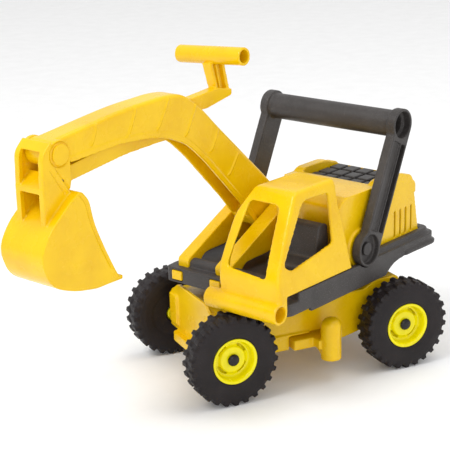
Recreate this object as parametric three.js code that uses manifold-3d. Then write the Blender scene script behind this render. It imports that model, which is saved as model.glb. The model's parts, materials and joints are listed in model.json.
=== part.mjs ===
// Toy wheeled excavator: a chassis on four wheels, a slewing upper carriage, a boom with a
// hand lever, and a bucket linked to that lever. Millimetres, +Z up, +X towards the front axle,
// +Y to the left. Everything is laid out about the slew axis, with heights taken from a level
// 33 mm below the axles. The finished model is moved at the end, so that its origin is the
// centre of its footprint on the ground.

import * as THREE from "three";
import { mergeVertices } from "three/addons/utils/BufferGeometryUtils.js";
import Module from "manifold-3d";

const wasm = await Module();
wasm.setup();

// ---------------------------------------------------------------- driving dimensions

const GAP = 0.3; // running gap between pieces
const WALL = 2.4; // wall of the moulded shells

// Upper carriage is turned to the left by this much in the rest pose.
const SLEW_REST = THREE.MathUtils.degToRad(24.5);

// Wheels and axles
const AXLE_Z = 33;
const TYRE_RADIUS = 34.4; // over the tread lugs
const TYRE_OUTER_Y = 65.3;
const TYRE_WIDTH = 19.6;
const TYRE_BORE_RADIUS = 7; // of the web that closes the inner side of the tyre
const RIM_RADIUS = 17.5;
const HUB_FACE_Y = 59.6;
const AXLE_RADIUS = 2.5;
const AXLE_HALF_LENGTH = 60.8;
const CAP_RADIUS = 4.4;
const FRONT_AXLE_X = 80.7;
const REAR_AXLE_X = -62.7;

// Chassis tub, with an open underside
const CHASSIS_HALF_WIDTH = 38;
const CHASSIS_FRONT_X = 86.4;
const CHASSIS_REAR_X = -71;
const CHASSIS_TOP_Z = 58;
const TURNTABLE_RADIUS = 34;
const TURNTABLE_TOP_Z = 65.6;
const KING_BOSS_RADIUS = 9;
const KING_BOSS_TOP_Z = 79;
const WASHER_RADIUS = 14;

// Stabiliser beam under the chassis
const POST_X = -2.3;
const POST_Y = 54;
const POST_RADIUS = 7.8;
const POST_TOP_Z = 48;
const DOME_HEIGHT = 6.2; // of the rounded post tops
const POST_BOTTOM_Z = 15.5;

// Deck of the upper carriage
const DECK_FRONT_X = 78;
const DECK_REAR_X = -104;
const DECK_TONGUE_X = 86.2; // front of the deck below the cab
const DECK_HALF_WIDTH = 62.5;
const REAR_RIM_FRONT_X = -24.5;
const DECK_TOP_Z = 82;
const DECK_PLATE = 4;
const SIDE_RAIL_TOP_Z = 85.6;
const SKIRT_BOTTOM_Z = 67.8;
const REAR_SKIRT_Z = 76.4;
const REAR_RIM_Z = 89.5; // raised rim round the foot of the engine housing

// Cab
const CAB_REAR_X = 16.3;
const CAB_BOTTOM_Z = 86;
const ROOF_Z = 153.5;
const TUBE_X = 94.5;
const TUBE_Z = 75.6;
const TUBE_RADIUS = 7.6;
const TUBE_LEFT_Y = 62.3;
const TUBE_RIGHT_Y = -2.5;

// Engine housing behind the cab
const HOUSING_LEFT_Y = 54;
const HOUSING_RIGHT_Y = -24;
const HOUSING_FRONT_X = 16;
const BRACKET_BAY_X = -20; // the housing steps aside for the boom ahead of this
const BRACKET_BAY_Y = -3.4;
const HOUSING_REAR_X = -91;
const HOUSING_TOP_Z = 136.5;
const RAIL_TOP_Z = 139.5;
const COVER_BED_Z = 127.5;
const COVER_FRONT_X = -35;
const COVER_REAR_X = -80;
const LOUVRE_FRONT_X = -57.3;
const LOUVRE_PITCH = 7.4;
const SIDE_BOX_RIGHT_Y = -54;
const SIDE_BOX_TOP_Z = 110;
const SIDE_BOX_FRONT_X = -26;

// Carry handle
const HANDLE_PIVOT = { x: -9.6, z: 95.1 };
const HANDLE_TOP = { x: -51.4, z: 181.1 };
const ARM_OUTER_Y = { left: 64.5, right: -62.6 };
const ARM_INNER_Y = { left: 57, right: -55.5 };
const GRIP_RADIUS = 10;
const UPPER_BOSS_RADIUS = 12;
const LOWER_BOSS_RADIUS = 13;

// Boom, its bracket and the bucket linkage, all in one plane to the right of the cab
const BOOM_Y = -29.5;
const BOOM_HALF_WIDTH = 10;
const CHEEK_LEFT = [-18, -4]; // y of the bracket cheeks
const CHEEK_RIGHT = [-54.5, -44];
const BOOM_PIVOT = { x: -3, z: 112 };
const BUCKET_PIVOT = { x: 217, z: 204.5 };
const LEVER_PIVOT = { x: 98, z: 211 };
const CRANK = { x: -3.5, z: -17 }; // from each pivot to its push rod pin
const EAR_INNER = BOOM_HALF_WIDTH + GAP;
const EAR_OUTER = EAR_INNER + 3;
const BUCKET_HALF_WIDTH = 20.3;
const LEG_CENTRES = [-49.5, -12]; // y of the bracket legs
const GRIP_TUBE = { x: 50, z: 240 };
const GRIP_TUBE_RADIUS = 6.5;
const GRIP_TUBE_HALF_LENGTH = 30.5;
const GRIP_Y = -31;
const GRIP_TILT = THREE.MathUtils.degToRad(3.5);
const GRIP_TILT_Z = 210; // height the tilt starts from

// ---------------------------------------------------------------- materials

function plastic(color, roughness = 0.35) {
  return new THREE.MeshStandardMaterial({ color, roughness, metalness: 0 });
}
const YELLOW = plastic(0xf2c200);
const RIM_YELLOW = plastic(0xe9dc1c);
const DARK_GREY = plastic(0x4a4645, 0.55);
const TYRE_BLACK = plastic(0x2b2124, 0.8);
const CAP_BLACK = plastic(0x141213, 0.3);
const STEEL = new THREE.MeshStandardMaterial({ color: 0xb8babd, roughness: 0.3, metalness: 1 });

// ---------------------------------------------------------------- solids

function toSolid(geometry) {
  const bare = geometry.index ? geometry.toNonIndexed() : geometry.clone();
  bare.deleteAttribute("normal");
  bare.deleteAttribute("uv");
  const merged = mergeVertices(bare, 1e-4);
  const vertProperties = new Float32Array(merged.attributes.position.array);
  const triVerts = new Uint32Array(merged.index.array);
  return new wasm.Manifold(new wasm.Mesh({ numProp: 3, vertProperties, triVerts }));
}

function toGeometry(solid) {
  const mesh = solid.getMesh();
  const geometry = new THREE.BufferGeometry();
  geometry.setAttribute("position", new THREE.BufferAttribute(mesh.vertProperties, 3));
  geometry.setIndex(new THREE.BufferAttribute(mesh.triVerts, 1));
  geometry.computeVertexNormals();
  return geometry;
}

const join = (...geometries) =>
  geometries.map(toSolid).reduce((sum, next) => sum.add(next));
const joined = (...geometries) => toGeometry(join(...geometries));
const cut = (base, ...tools) =>
  toGeometry(tools.map(toSolid).reduce((rest, tool) => rest.subtract(tool), toSolid(base)));
const common = (...geometries) =>
  toGeometry(geometries.map(toSolid).reduce((rest, next) => rest.intersect(next)));

// An outline through corner points [x, y, radius]. A corner with a radius is rounded.
function outline(corners) {
  const shape = new THREE.Shape();
  const count = corners.length;
  corners.forEach(([x, y, radius = 0], i) => {
    const here = new THREE.Vector2(x, y);
    const [px, py] = corners[(i + count - 1) % count];
    const [nx, ny] = corners[(i + 1) % count];
    const before = new THREE.Vector2(px, py).sub(here);
    const after = new THREE.Vector2(nx, ny).sub(here);
    const reach = Math.min(radius, before.length() * 0.48, after.length() * 0.48);
    const start = before.setLength(reach).add(here);
    const end = after.setLength(reach).add(here);
    if (i === 0) shape.moveTo(start.x, start.y);
    else shape.lineTo(start.x, start.y);
    if (radius > 0) shape.quadraticCurveTo(x, y, end.x, end.y);
  });
  shape.closePath();
  return shape;
}

// An outline drawn in x and z, carried along y from yLow to yHigh.
function plateXZ(shape, yLow, yHigh, curveSegments = 3) {
  const geometry = new THREE.ExtrudeGeometry(shape, {
    depth: yHigh - yLow, bevelEnabled: false, curveSegments,
  });
  geometry.rotateX(Math.PI / 2);
  return geometry.translate(0, yHigh, 0);
}

// An outline drawn in x and y, carried up z.
function plateXY(shape, zLow, zHigh, curveSegments = 3) {
  const geometry = new THREE.ExtrudeGeometry(shape, {
    depth: zHigh - zLow, bevelEnabled: false, curveSegments,
  });
  return geometry.translate(0, 0, zLow);
}

// An outline drawn in y and z, carried along x.
function plateYZ(shape, xLow, xHigh, curveSegments = 3) {
  const geometry = new THREE.ExtrudeGeometry(shape, {
    depth: xHigh - xLow, bevelEnabled: false, curveSegments,
  });
  const turn = new THREE.Matrix4().makeBasis(
    new THREE.Vector3(0, 1, 0), new THREE.Vector3(0, 0, 1), new THREE.Vector3(1, 0, 0),
  );
  return geometry.applyMatrix4(turn).translate(xLow, 0, 0);
}

function box([x0, x1], [y0, y1], [z0, z1]) {
  const geometry = new THREE.BoxGeometry(x1 - x0, y1 - y0, z1 - z0);
  return geometry.translate((x0 + x1) / 2, (y0 + y1) / 2, (z0 + z1) / 2);
}

// A round bar across the machine, at x and z, from yLow to yHigh.
function barY(radius, { x, z }, yLow, yHigh, segments = 20) {
  const geometry = new THREE.CylinderGeometry(radius, radius, yHigh - yLow, segments);
  return geometry.translate(x, (yLow + yHigh) / 2, z);
}

function barZ(radius, x, y, zLow, zHigh, segments = 20) {
  const geometry = new THREE.CylinderGeometry(radius, radius, zHigh - zLow, segments);
  geometry.rotateX(Math.PI / 2);
  return geometry.translate(x, y, (zLow + zHigh) / 2);
}

const polar = (centre, radius, degrees) => {
  const angle = THREE.MathUtils.degToRad(degrees);
  return [centre.x + radius * Math.cos(angle), centre.z + radius * Math.sin(angle)];
};

// Points along an arc about a centre, for use inside an outline.
function arcPoints(centre, radius, fromDegrees, toDegrees, steps) {
  return Array.from({ length: steps + 1 }, (_, i) =>
    polar(centre, radius, fromDegrees + ((toDegrees - fromDegrees) * i) / steps));
}

const plus = (a, b) => ({ x: a.x + b.x, z: a.z + b.z });

// ---------------------------------------------------------------- scene graph

const model = new THREE.Group();
const machine = new THREE.Group();
const upper = new THREE.Group();
upper.rotation.z = SLEW_REST;
machine.add(upper);
model.add(machine);

function addPiece(parent, name, material, geometry) {
  const mesh = new THREE.Mesh(geometry, material);
  mesh.name = name;
  parent.add(mesh);
  return mesh;
}

// ---------------------------------------------------------------- wheels

// A lathe outline is given as [radius, y] and turns about the axle, with +y outwards.
function turned(points, segments) {
  const geometry = new THREE.LatheGeometry(
    points.map(([radius, y]) => new THREE.Vector2(radius, y)), segments);
  return geometry;
}

function tyreGeometry() {
  const outer = TYRE_OUTER_Y;
  const inner = TYRE_OUTER_Y - TYRE_WIDTH;
  const bore = RIM_RADIUS - 2.5 + GAP;
  return turned([
    [bore, inner + 3.2],
    [TYRE_BORE_RADIUS, inner + 3.2],
    [TYRE_BORE_RADIUS, inner + 0.8],
    [RIM_RADIUS + GAP, inner + 0.8],
    [24, inner],
    [30, inner + 0.8],
    [TYRE_RADIUS, inner + 3.4],
    [TYRE_RADIUS, outer - 3.4],
    [30, outer - 0.8],
    [24, outer],
    [RIM_RADIUS + GAP, outer - 1.2],
    [bore, outer - 4],
    [bore, inner + 3.2],
  ], 30);
}

function rimGeometry() {
  const outer = TYRE_OUTER_Y - 1.2;
  const hubEnd = TYRE_OUTER_Y - TYRE_WIDTH + 0.4;
  const inner = TYRE_OUTER_Y - TYRE_WIDTH + 3.2 + GAP;
  const bead = RIM_RADIUS - 2.5;
  const disc = turned([
    [AXLE_RADIUS + GAP, HUB_FACE_Y],
    [AXLE_RADIUS + GAP, hubEnd],
    [6, hubEnd],
    [6, HUB_FACE_Y - 7.4],
    [bead - 2, HUB_FACE_Y - 7.4],
    [bead - 2, inner],
    [bead, inner],
    [bead, outer - 2.8],
    [RIM_RADIUS, outer],
    [RIM_RADIUS - 3.2, outer],
    [RIM_RADIUS - 4.6, HUB_FACE_Y - 2.4],
    [10.5, HUB_FACE_Y - 2.4],
    [9.6, HUB_FACE_Y],
    [AXLE_RADIUS + GAP, HUB_FACE_Y],
  ], 24);
  return disc;
}

// Crescent pocket in the rim disc: the overlap of a ring segment and the disc.
function crescentTool(degrees) {
  const span = 26;
  const inside = 9.2;
  const outside = 11.6;
  const centre = { x: 0, z: 0 };
  const shape = outline([
    ...arcPoints(centre, outside, degrees - span, degrees + span, 4),
    ...arcPoints(centre, inside, degrees + span * 0.7, degrees - span * 0.7, 3),
  ]);
  return plateXZ(shape, HUB_FACE_Y - 6, HUB_FACE_Y + 3, 2);
}

function capGeometry() {
  return turned([
    [0, HUB_FACE_Y + 1.4],
    [AXLE_RADIUS + 0.05, HUB_FACE_Y + 1.4],
    [AXLE_RADIUS + 0.05, HUB_FACE_Y + GAP],
    [CAP_RADIUS, HUB_FACE_Y + GAP],
    [CAP_RADIUS, HUB_FACE_Y + 1.6],
    [CAP_RADIUS - 1.4, HUB_FACE_Y + 2.8],
    [0, HUB_FACE_Y + 3.2],
  ], 14);
}

const POCKET_ANGLES = [45, 135, 225, 315];
const tyre = tyreGeometry();
const rim = cut(rimGeometry(), ...POCKET_ANGLES.map(crescentTool));
const cap = capGeometry();

for (const [end, axleX] of [["front", FRONT_AXLE_X], ["rear", REAR_AXLE_X]]) {
  const axle = barY(AXLE_RADIUS, { x: 0, z: 0 }, -AXLE_HALF_LENGTH, AXLE_HALF_LENGTH, 16);
  addPiece(machine, `${end}_axle`, STEEL, axle).position.set(axleX, 0, AXLE_Z);
  for (const side of ["left", "right"]) {
    const corner = new THREE.Group();
    corner.position.set(axleX, 0, AXLE_Z);
    if (side === "right") corner.rotation.z = Math.PI;
    machine.add(corner);
    addPiece(corner, `tyre_${end}_${side}`, TYRE_BLACK, tyre);
    addPiece(corner, `rim_${end}_${side}`, RIM_YELLOW, rim);
    addPiece(corner, `axle_cap_${end}_${side}`, CAP_BLACK, cap);
  }
}

// ---------------------------------------------------------------- chassis

function sideWallTools(yInner, yOuter, make) {
  return [make(yInner, yOuter), make(-yOuter, -yInner)];
}

function chassisGeometry() {
  const w = CHASSIS_HALF_WIDTH;
  const side = outline([
    [CHASSIS_FRONT_X, 26, 3],
    [CHASSIS_FRONT_X, CHASSIS_TOP_Z, 2],
    [-40, CHASSIS_TOP_Z],
    [-50, 64, 3],
    [CHASSIS_REAR_X, 64, 4],
    [CHASSIS_REAR_X, 26, 6],
    [-40, 26],
    [-22, 22],
    [62, 22],
  ]);
  const tub = plateXZ(side, -w, w);
  const hollow = outline([
    [CHASSIS_FRONT_X - WALL, -1],
    [CHASSIS_FRONT_X - WALL, CHASSIS_TOP_Z - WALL],
    [-40, CHASSIS_TOP_Z - WALL],
    [-50, 64 - WALL],
    [CHASSIS_REAR_X + WALL, 64 - WALL],
    [CHASSIS_REAR_X + WALL, -1],
  ]);
  const shell = cut(tub, plateXZ(hollow, -w + WALL, w - WALL));
  const steps = sideWallTools(w - 1, w + 2, (y0, y1) => box([8, 60], [y0, y1], [22, 34]));
  const strips = sideWallTools(w - 12.5, w + 1, (y0, y1) =>
    box([CHASSIS_FRONT_X - 1, CHASSIS_FRONT_X + 1.8], [y0, y1], [31, 54.5]));
  const frontPlate = plateYZ(outline([
    [-w - 1, 31, 2], [-w - 1, 56, 2], [-25, 64.8, 3], [25, 64.8, 3], [w + 1, 56, 2],
    [w + 1, 31, 2], [26, 25, 3], [-26, 25, 3],
  ]), CHASSIS_FRONT_X - WALL, CHASSIS_FRONT_X);
  const bumper = plateXY(outline([
    [76, -27, 2], [91.5, -28, 5], [91.5, 28, 5], [76, 27, 2],
  ]), 19.8, 27);
  const axleBlocks = [FRONT_AXLE_X, REAR_AXLE_X].flatMap((x) =>
    sideWallTools(w - 7, w + 5, (y0, y1) => box([x - 5.2, x + 5.2], [y0, y1], [26, 40])));
  const turntable = barZ(TURNTABLE_RADIUS, 0, 0, CHASSIS_TOP_Z - 1, TURNTABLE_TOP_Z, 40);
  const boss = barZ(KING_BOSS_RADIUS, 0, 0, 40, KING_BOSS_TOP_Z, 24);
  const whole = joined(shell, ...steps, ...strips, frontPlate, bumper, ...axleBlocks,
    turntable, boss);
  const axleHoles = [FRONT_AXLE_X, REAR_AXLE_X].map((x) =>
    barY(AXLE_RADIUS + GAP, { x, z: AXLE_Z }, -w - 8, w + 8, 16));
  const turntableHollow = barZ(TURNTABLE_RADIUS - WALL, 0, 0, 61, 70, 40);
  const rearTowSlot = box([CHASSIS_REAR_X - 1, CHASSIS_REAR_X + 5], [-9, 9], [38, 46]);
  const screwHole = barZ(1.6, 0, 0, 55, 90, 12);
  const beamRoom = box([-9 - GAP, 9 + GAP], [-60, 60], [10, 32 + GAP]);
  const blockRoom = [1, -1].map((s) => (s > 0
    ? box([9, 25 + GAP], [w - 8, 60], [10, 32 + GAP])
    : box([9, 25 + GAP], [-60, -w + 8], [10, 32 + GAP])));
  const ring = cut(whole, turntableHollow);
  return cut(joined(ring, boss), ...axleHoles, rearTowSlot, screwHole,
    beamRoom, ...blockRoom);
}
addPiece(machine, "chassis", YELLOW, chassisGeometry());

function stabiliserGeometry() {
  const beam = box([-8, 8], [-POST_Y, POST_Y], [24, 31]);
  const halves = [1, -1].map((s) => {
    const dome = new THREE.SphereGeometry(POST_RADIUS, 24, 10).rotateX(Math.PI / 2);
    dome.scale(1, 1, DOME_HEIGHT / POST_RADIUS);
    dome.translate(POST_X, s * POST_Y, POST_TOP_Z - DOME_HEIGHT);
    const post = joined(dome,
      barZ(POST_RADIUS, POST_X, s * POST_Y, POST_BOTTOM_Z, POST_TOP_Z - DOME_HEIGHT, 24));
    const trim = s > 0
      ? box([-20, 20], [20, POST_Y - 3], [0, 60])
      : box([-20, 20], [-POST_Y + 3, -20], [0, 60]);
    const halfPost = cut(post, trim);
    const gusset = plateYZ(outline([
      [s * 36, 24], [s * (POST_Y - 1), POST_BOTTOM_Z], [s * (POST_Y - 1), 31], [s * 36, 31],
    ]), -7, 4);
    const block = s > 0
      ? box([2, 24], [34, 46], [23, 31])
      : box([2, 24], [-46, -34], [23, 31]);
    return joined(halfPost, gusset, block);
  });
  return joined(beam, ...halves);
}
addPiece(machine, "stabiliser_beam", YELLOW, stabiliserGeometry());

// Washer and screw on the king boss hold the upper carriage down.
const washer = cut(barZ(WASHER_RADIUS, 0, 0, DECK_TOP_Z + GAP, DECK_TOP_Z + 1.8, 28),
  barZ(2.1, 0, 0, 70, 90, 12));
addPiece(machine, "slew_washer", STEEL, washer);
addPiece(machine, "slew_screw", STEEL, joined(
  barZ(4.2, 0, 0, DECK_TOP_Z + 2.1, DECK_TOP_Z + 5, 20),
  barZ(1.3, 0, 0, 58, DECK_TOP_Z + 3, 12)));

// ---------------------------------------------------------------- deck

function deckGeometry() {
  const w = DECK_HALF_WIDTH;
  const plan = outline([
    [DECK_FRONT_X, -w + 2, 4],
    [DECK_FRONT_X, 8],
    [DECK_TONGUE_X, 8],
    [DECK_TONGUE_X, w, 6],
    [DECK_REAR_X, w, 12],
    [DECK_REAR_X, -w, 12],
    [40, -w, 6],
  ]);
  const inside = outline([
    [DECK_FRONT_X - 3, -w + 3, 2],
    [DECK_FRONT_X - 3, w - 3, 2],
    [DECK_REAR_X + 3, w - 3, 9],
    [DECK_REAR_X + 3, -w + 3, 9],
  ]);
  const tray = plateXY(plan, SKIRT_BOTTOM_Z, SIDE_RAIL_TOP_Z);
  const below = plateXY(inside, SKIRT_BOTTOM_Z - 1, DECK_TOP_Z - DECK_PLATE);
  const above = plateXY(outline([
    [DECK_REAR_X + 4, -w + 4, 9], [DECK_REAR_X + 4, w - 4, 9],
    [DECK_TONGUE_X + 5, w - 4], [DECK_TONGUE_X + 5, -w + 4],
  ].reverse()), DECK_TOP_Z, SIDE_RAIL_TOP_Z + 1);
  const frontOpen = box([50, DECK_FRONT_X + 5], [-w - 1, 0], [DECK_TOP_Z, 100]);
  const frontCut = box([60, DECK_TONGUE_X + 5], [-w - 5, w + 5], [60, 70.6]);
  const tongueRoom = box([DECK_FRONT_X - 4, DECK_TONGUE_X + 5], [-2, w + 5], [79.5, 100]);
  const rearCut = plateXZ(outline([
    [DECK_REAR_X - 5, REAR_SKIRT_Z], [-54, REAR_SKIRT_Z, 8], [-42, 74, 5], [-33, 67.8, 5],
    [-26, 60], [DECK_REAR_X - 5, 60],
  ]), -w - 5, w + 5);
  const lip = plateXY(outline([
    [-60, w + 1], [DECK_REAR_X - 1.6, w + 1.6, 12],
    [DECK_REAR_X - 1.6, -w - 1.6, 12], [-60, -w - 1],
  ]), REAR_SKIRT_Z, REAR_SKIRT_Z + 3);
  const lipRoom = plateXY(inside, 70, DECK_TOP_Z - DECK_PLATE);
  const ridgeSide = outline([
    [59, DECK_TOP_Z - 1], [70, DECK_TOP_Z - 1], [69.5, 86, 2], [65, 88.5, 3], [60, 86, 2],
  ]);
  const ridges = [
    plateXZ(ridgeSide, CHEEK_RIGHT[1] + GAP, CHEEK_LEFT[0] - GAP),
    plateXZ(ridgeSide, CHEEK_LEFT[1] + GAP, 50),
  ];
  const hub = barZ(KING_BOSS_RADIUS + 4, 0, 0, 66.2, DECK_TOP_Z - 1, 28);
  const rim = cut(plateXY(outline([
    [REAR_RIM_FRONT_X, w - 1.5], [DECK_REAR_X + 2, w - 1.5, 11],
    [DECK_REAR_X + 2, -w + 1.5, 11], [REAR_RIM_FRONT_X, -w + 1.5],
  ]), DECK_TOP_Z - 1, REAR_RIM_Z), box([HOUSING_REAR_X - GAP, 0],
    [SIDE_BOX_RIGHT_Y - GAP, HOUSING_LEFT_Y + GAP], [DECK_TOP_Z - 2, REAR_RIM_Z + 1]));
  const tub = cut(tray, below, above, frontOpen, frontCut, tongueRoom, rearCut);
  const body = joined(tub, ...ridges, hub, cut(lip, lipRoom), rim);
  const kingHole = barZ(KING_BOSS_RADIUS + GAP, 0, 0, 60, 90, 24);
  const slots = LEG_CENTRES.map((y) =>
    box([60, DECK_FRONT_X + 5], [y - 5.4, y + 5.4], [72.4, 80.4]));
  const legHoles = LEG_CENTRES.map((y) =>
    box([62.6, 71.4], [y - 5.4, y + 5.4], [72, 95]));
  const handleRoom = [1, -1].map((s) =>
    barY(LOWER_BOSS_RADIUS + 0.6, HANDLE_PIVOT, ...(s > 0 ? [52, 70] : [-70, -52]), 32));
  return cut(body, kingHole, ...slots, ...legHoles, ...handleRoom);
}
addPiece(upper, "deck", DARK_GREY, deckGeometry());

// ---------------------------------------------------------------- cab

// Front view of the cab as [y, z]; inset moves every side inwards.
function cabFrontView(inset) {
  return outline([
    [9 + inset, 66 - inset],
    [5.5 + inset, 108],
    [5.5 + inset, 134, 6],
    [15 + inset * 0.6, ROOF_Z - inset, 3],
    [51 - inset, ROOF_Z - inset, 3],
    [62.2 - inset, 84],
    [62.2 - inset, 66 - inset],
  ]);
}

// Side view of the cab as [x, z].
function cabSideView(inset) {
  return outline([
    [CAB_REAR_X - 20, 66 - inset],
    [95 - inset, 66 - inset],
    [95 - inset, 98, 8],
    [80 - inset, 125],
    [62 - inset * 0.8, ROOF_Z - inset, 4],
    [CAB_REAR_X - 20, ROOF_Z - inset],
  ]);
}

// Top view of the cab as [x, y], with rounded front corners.
function cabPlan(inset) {
  return outline([
    [CAB_REAR_X - 20, 4 + inset],
    [97 - inset, 4 + inset, 9],
    [97 - inset, 64 - inset, 11],
    [CAB_REAR_X - 20, 64 - inset],
  ]);
}

function cabGeometry() {
  const outer = common(
    plateYZ(cabFrontView(0), CAB_REAR_X - 20, 100),
    plateXZ(cabSideView(0), -5, 70),
    plateXY(cabPlan(0), 60, 160));
  const inner = common(
    plateYZ(cabFrontView(WALL), CAB_REAR_X - 25, 100),
    plateXZ(cabSideView(WALL), -5, 70),
    plateXY(cabPlan(WALL), 60, 160));
  const deckRoom = box([-20, DECK_TONGUE_X + GAP], [-10, 70], [50, CAB_BOTTOM_Z]);
  const lower = cut(outer, box([-20, 100], [-10, 70], [50, 75]), deckRoom);
  const behind = box([-20, CAB_REAR_X], [-10, HOUSING_LEFT_Y + GAP], [60, 160]);
  const behindPillar = plateXZ(outline([
    [-20, 60], [10, 60], [10, CAB_BOTTOM_Z], [CAB_REAR_X + 1.5, ROOF_Z + 5], [-20, 170],
  ]), -10, 80);
  const shell = cut(lower, inner, behind, behindPillar);
  const frontWindow = plateYZ(outline([
    [12.5, 100.5, 4], [48.5, 97.5, 4], [41.5, 143.5, 4], [14.5, 143.8, 4],
  ]), 60, 110);
  const sideWindow = plateXZ(outline([
    [77.5, 101.5, 5], [85, 107, 3], [55, 146, 6], [25.5, 145.3, 3], [28, 109, 3],
  ]), 40, 70);
  const rightSide = plateXZ(outline([
    [CAB_REAR_X + 4, 60], [84, 60], [84, 100, 3], [60, 143, 5], [CAB_REAR_X + 4, 143, 3],
  ]), -5, 12);
  const windows = cut(shell, frontWindow, sideWindow, rightSide);
  const tube = barY(TUBE_RADIUS, { x: TUBE_X, z: TUBE_Z }, TUBE_RIGHT_Y, TUBE_LEFT_Y, 28);
  const tubeBore = barY(TUBE_RADIUS - 2, { x: TUBE_X, z: TUBE_Z }, 48, TUBE_LEFT_Y + 5, 28);
  return cut(joined(windows, tube), tubeBore, deckRoom);
}
addPiece(upper, "cab", YELLOW, cabGeometry());

function seatGeometry() {
  const side = outline([
    [20, SEAT_BASE_Z], [54, SEAT_BASE_Z], [54, 96, 3], [37, 97, 3], [33, 121, 3], [22, 121, 3],
  ]);
  return plateXZ(side, 17, 49);
}
const SEAT_BASE_Z = DECK_TOP_Z + GAP;
addPiece(upper, "seat", DARK_GREY, seatGeometry());

// ---------------------------------------------------------------- engine housing

function housingGeometry() {
  const base = DECK_TOP_Z + GAP;
  const left = HOUSING_LEFT_Y;
  const right = HOUSING_RIGHT_Y;
  const side = outline([
    [HOUSING_FRONT_X, base],
    [HOUSING_FRONT_X, 130.5, 2],
    [8, HOUSING_TOP_Z, 4],
    [HOUSING_REAR_X + 10, HOUSING_TOP_Z, 8],
    [HOUSING_REAR_X, base],
  ]);
  const hood = plateXZ(side, right, left);
  const railSide = outline([
    [-28, 134], [-36, RAIL_TOP_Z, 4], [-68, RAIL_TOP_Z, 8], [-86, 128, 5], [-86, 120], [-28, 120],
  ]);
  const rails = [plateXZ(railSide, left - 8, left), plateXZ(railSide, right, right + 8)];
  const sideBox = plateXZ(outline([
    [SIDE_BOX_FRONT_X, base], [SIDE_BOX_FRONT_X, SIDE_BOX_TOP_Z, 6],
    [HOUSING_REAR_X + 2, SIDE_BOX_TOP_Z, 6], [HOUSING_REAR_X, base],
  ]), SIDE_BOX_RIGHT_Y, right + 1);
  const collar = barY(14.4, HANDLE_PIVOT, left - 1, left + 1.6, 32);
  const collarTrim = box([-40, 20], [-70, 70], [60, base]);
  const outer = cut(joined(hood, ...rails, sideBox, collar), collarTrim);
  const ceiling = COVER_BED_Z - WALL;
  const hollowHood = box([HOUSING_REAR_X + 9, BRACKET_BAY_X - WALL],
    [right + WALL, left - WALL], [base - 5, ceiling]);
  const hollowFront = box([BRACKET_BAY_X - 5, HOUSING_FRONT_X - WALL],
    [BRACKET_BAY_Y + WALL, left - WALL], [base - 5, ceiling]);
  const hollowBox = box([HOUSING_REAR_X + 5, SIDE_BOX_FRONT_X - WALL],
    [SIDE_BOX_RIGHT_Y + WALL, right - WALL], [base - 5, SIDE_BOX_TOP_Z - WALL]);
  const coverBed = box([COVER_REAR_X - GAP, COVER_FRONT_X + GAP],
    [right + 8, left - 8], [COVER_BED_Z, 150]);
  const louvres = [0, 1, 2, 3].map((i) => {
    const x = LOUVRE_FRONT_X - i * LOUVRE_PITCH;
    return box([x - 1, x + 1], [left - WALL - 1, left + 2], [89.5, 111]);
  });
  const pinHole = barY(3 + GAP, HANDLE_PIVOT, left - 6, left + 4, 16);
  const bay = box([BRACKET_BAY_X, 20], [right - 5, BRACKET_BAY_Y], [60, 160]);
  const kingRoom = barZ(WASHER_RADIUS + 0.6, 0, 0, base - 1, 88, 24);
  return cut(outer, hollowHood, hollowFront, hollowBox, coverBed, ...louvres, pinHole, bay,
    kingRoom);
}
addPiece(upper, "engine_housing", YELLOW, housingGeometry());

function coverGeometry() {
  const left = HOUSING_LEFT_Y - 8 - GAP;
  const right = HOUSING_RIGHT_Y + 8 + GAP;
  const bed = box([COVER_REAR_X, COVER_FRONT_X], [right, left], [COVER_BED_Z + GAP, 130]);
  const columns = 5;
  const rows = 3;
  const pitchY = (left - right) / columns;
  const pitchX = (COVER_FRONT_X - COVER_REAR_X) / rows;
  const blocks = [];
  for (let column = 0; column < columns; column += 1) {
    for (let row = 0; row < rows; row += 1) {
      const y = right + (column + 0.5) * pitchY;
      const x = COVER_REAR_X + (row + 0.5) * pitchX;
      blocks.push(box([x - pitchX / 2 + 1, x + pitchX / 2 - 1],
        [y - pitchY / 2 + 0.8, y + pitchY / 2 - 0.8], [129, 134]));
    }
  }
  return joined(bed, ...blocks);
}
addPiece(upper, "engine_cover", DARK_GREY, coverGeometry());

// ---------------------------------------------------------------- boom bracket

function bracketGeometry() {
  const base = DECK_TOP_Z + GAP;
  const cheekSide = outline([
    [71, base],
    [71, 88, 2],
    ...arcPoints(BOOM_PIVOT, 11, 62, 200, 10),
    [-16, 96],
    [-16, base],
    [2, base],
    [12, 90, 4],
    [52, 88.5, 4],
    [58, base],
  ]);
  const [right, left] = [CHEEK_RIGHT[0], CHEEK_LEFT[1]];
  const cheeks = [plateXZ(cheekSide, ...CHEEK_LEFT), plateXZ(cheekSide, ...CHEEK_RIGHT)];
  const spacer = barY(10, BOOM_PIVOT, CHEEK_RIGHT[1] - 1, BOOM_Y - BOOM_HALF_WIDTH - 0.6, 20);
  const tie = box([-16, 2], [right, left], [base, base + 3]);
  const handleBoss = barY(9, HANDLE_PIVOT, right - 0.7, right + 1, 20);
  const legs = LEG_CENTRES.flatMap((y) => [
    box([63, 71], [y - 5, y + 5], [73, base + 1]),
    box([70, DECK_FRONT_X + 0.8], [y - 5, y + 5], [73, 80]),
  ]);
  const pinHole = barY(4 + GAP, BOOM_PIVOT, BOOM_Y - 40, BOOM_Y + 40, 20);
  const handleHole = barY(3 + GAP, HANDLE_PIVOT, right - 3, right + 6, 16);
  const kingRoom = barZ(WASHER_RADIUS + 0.6, 0, 0, base - 1, 88, 24);
  return cut(joined(...cheeks, spacer, tie, handleBoss, ...legs), pinHole, handleHole, kingRoom);
}
addPiece(upper, "boom_bracket", YELLOW, bracketGeometry());

addPiece(upper, "boom_pin", STEEL,
  barY(4, BOOM_PIVOT, CHEEK_RIGHT[0] + GAP, CHEEK_LEFT[1] - GAP, 20));

// ---------------------------------------------------------------- carry handle

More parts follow.
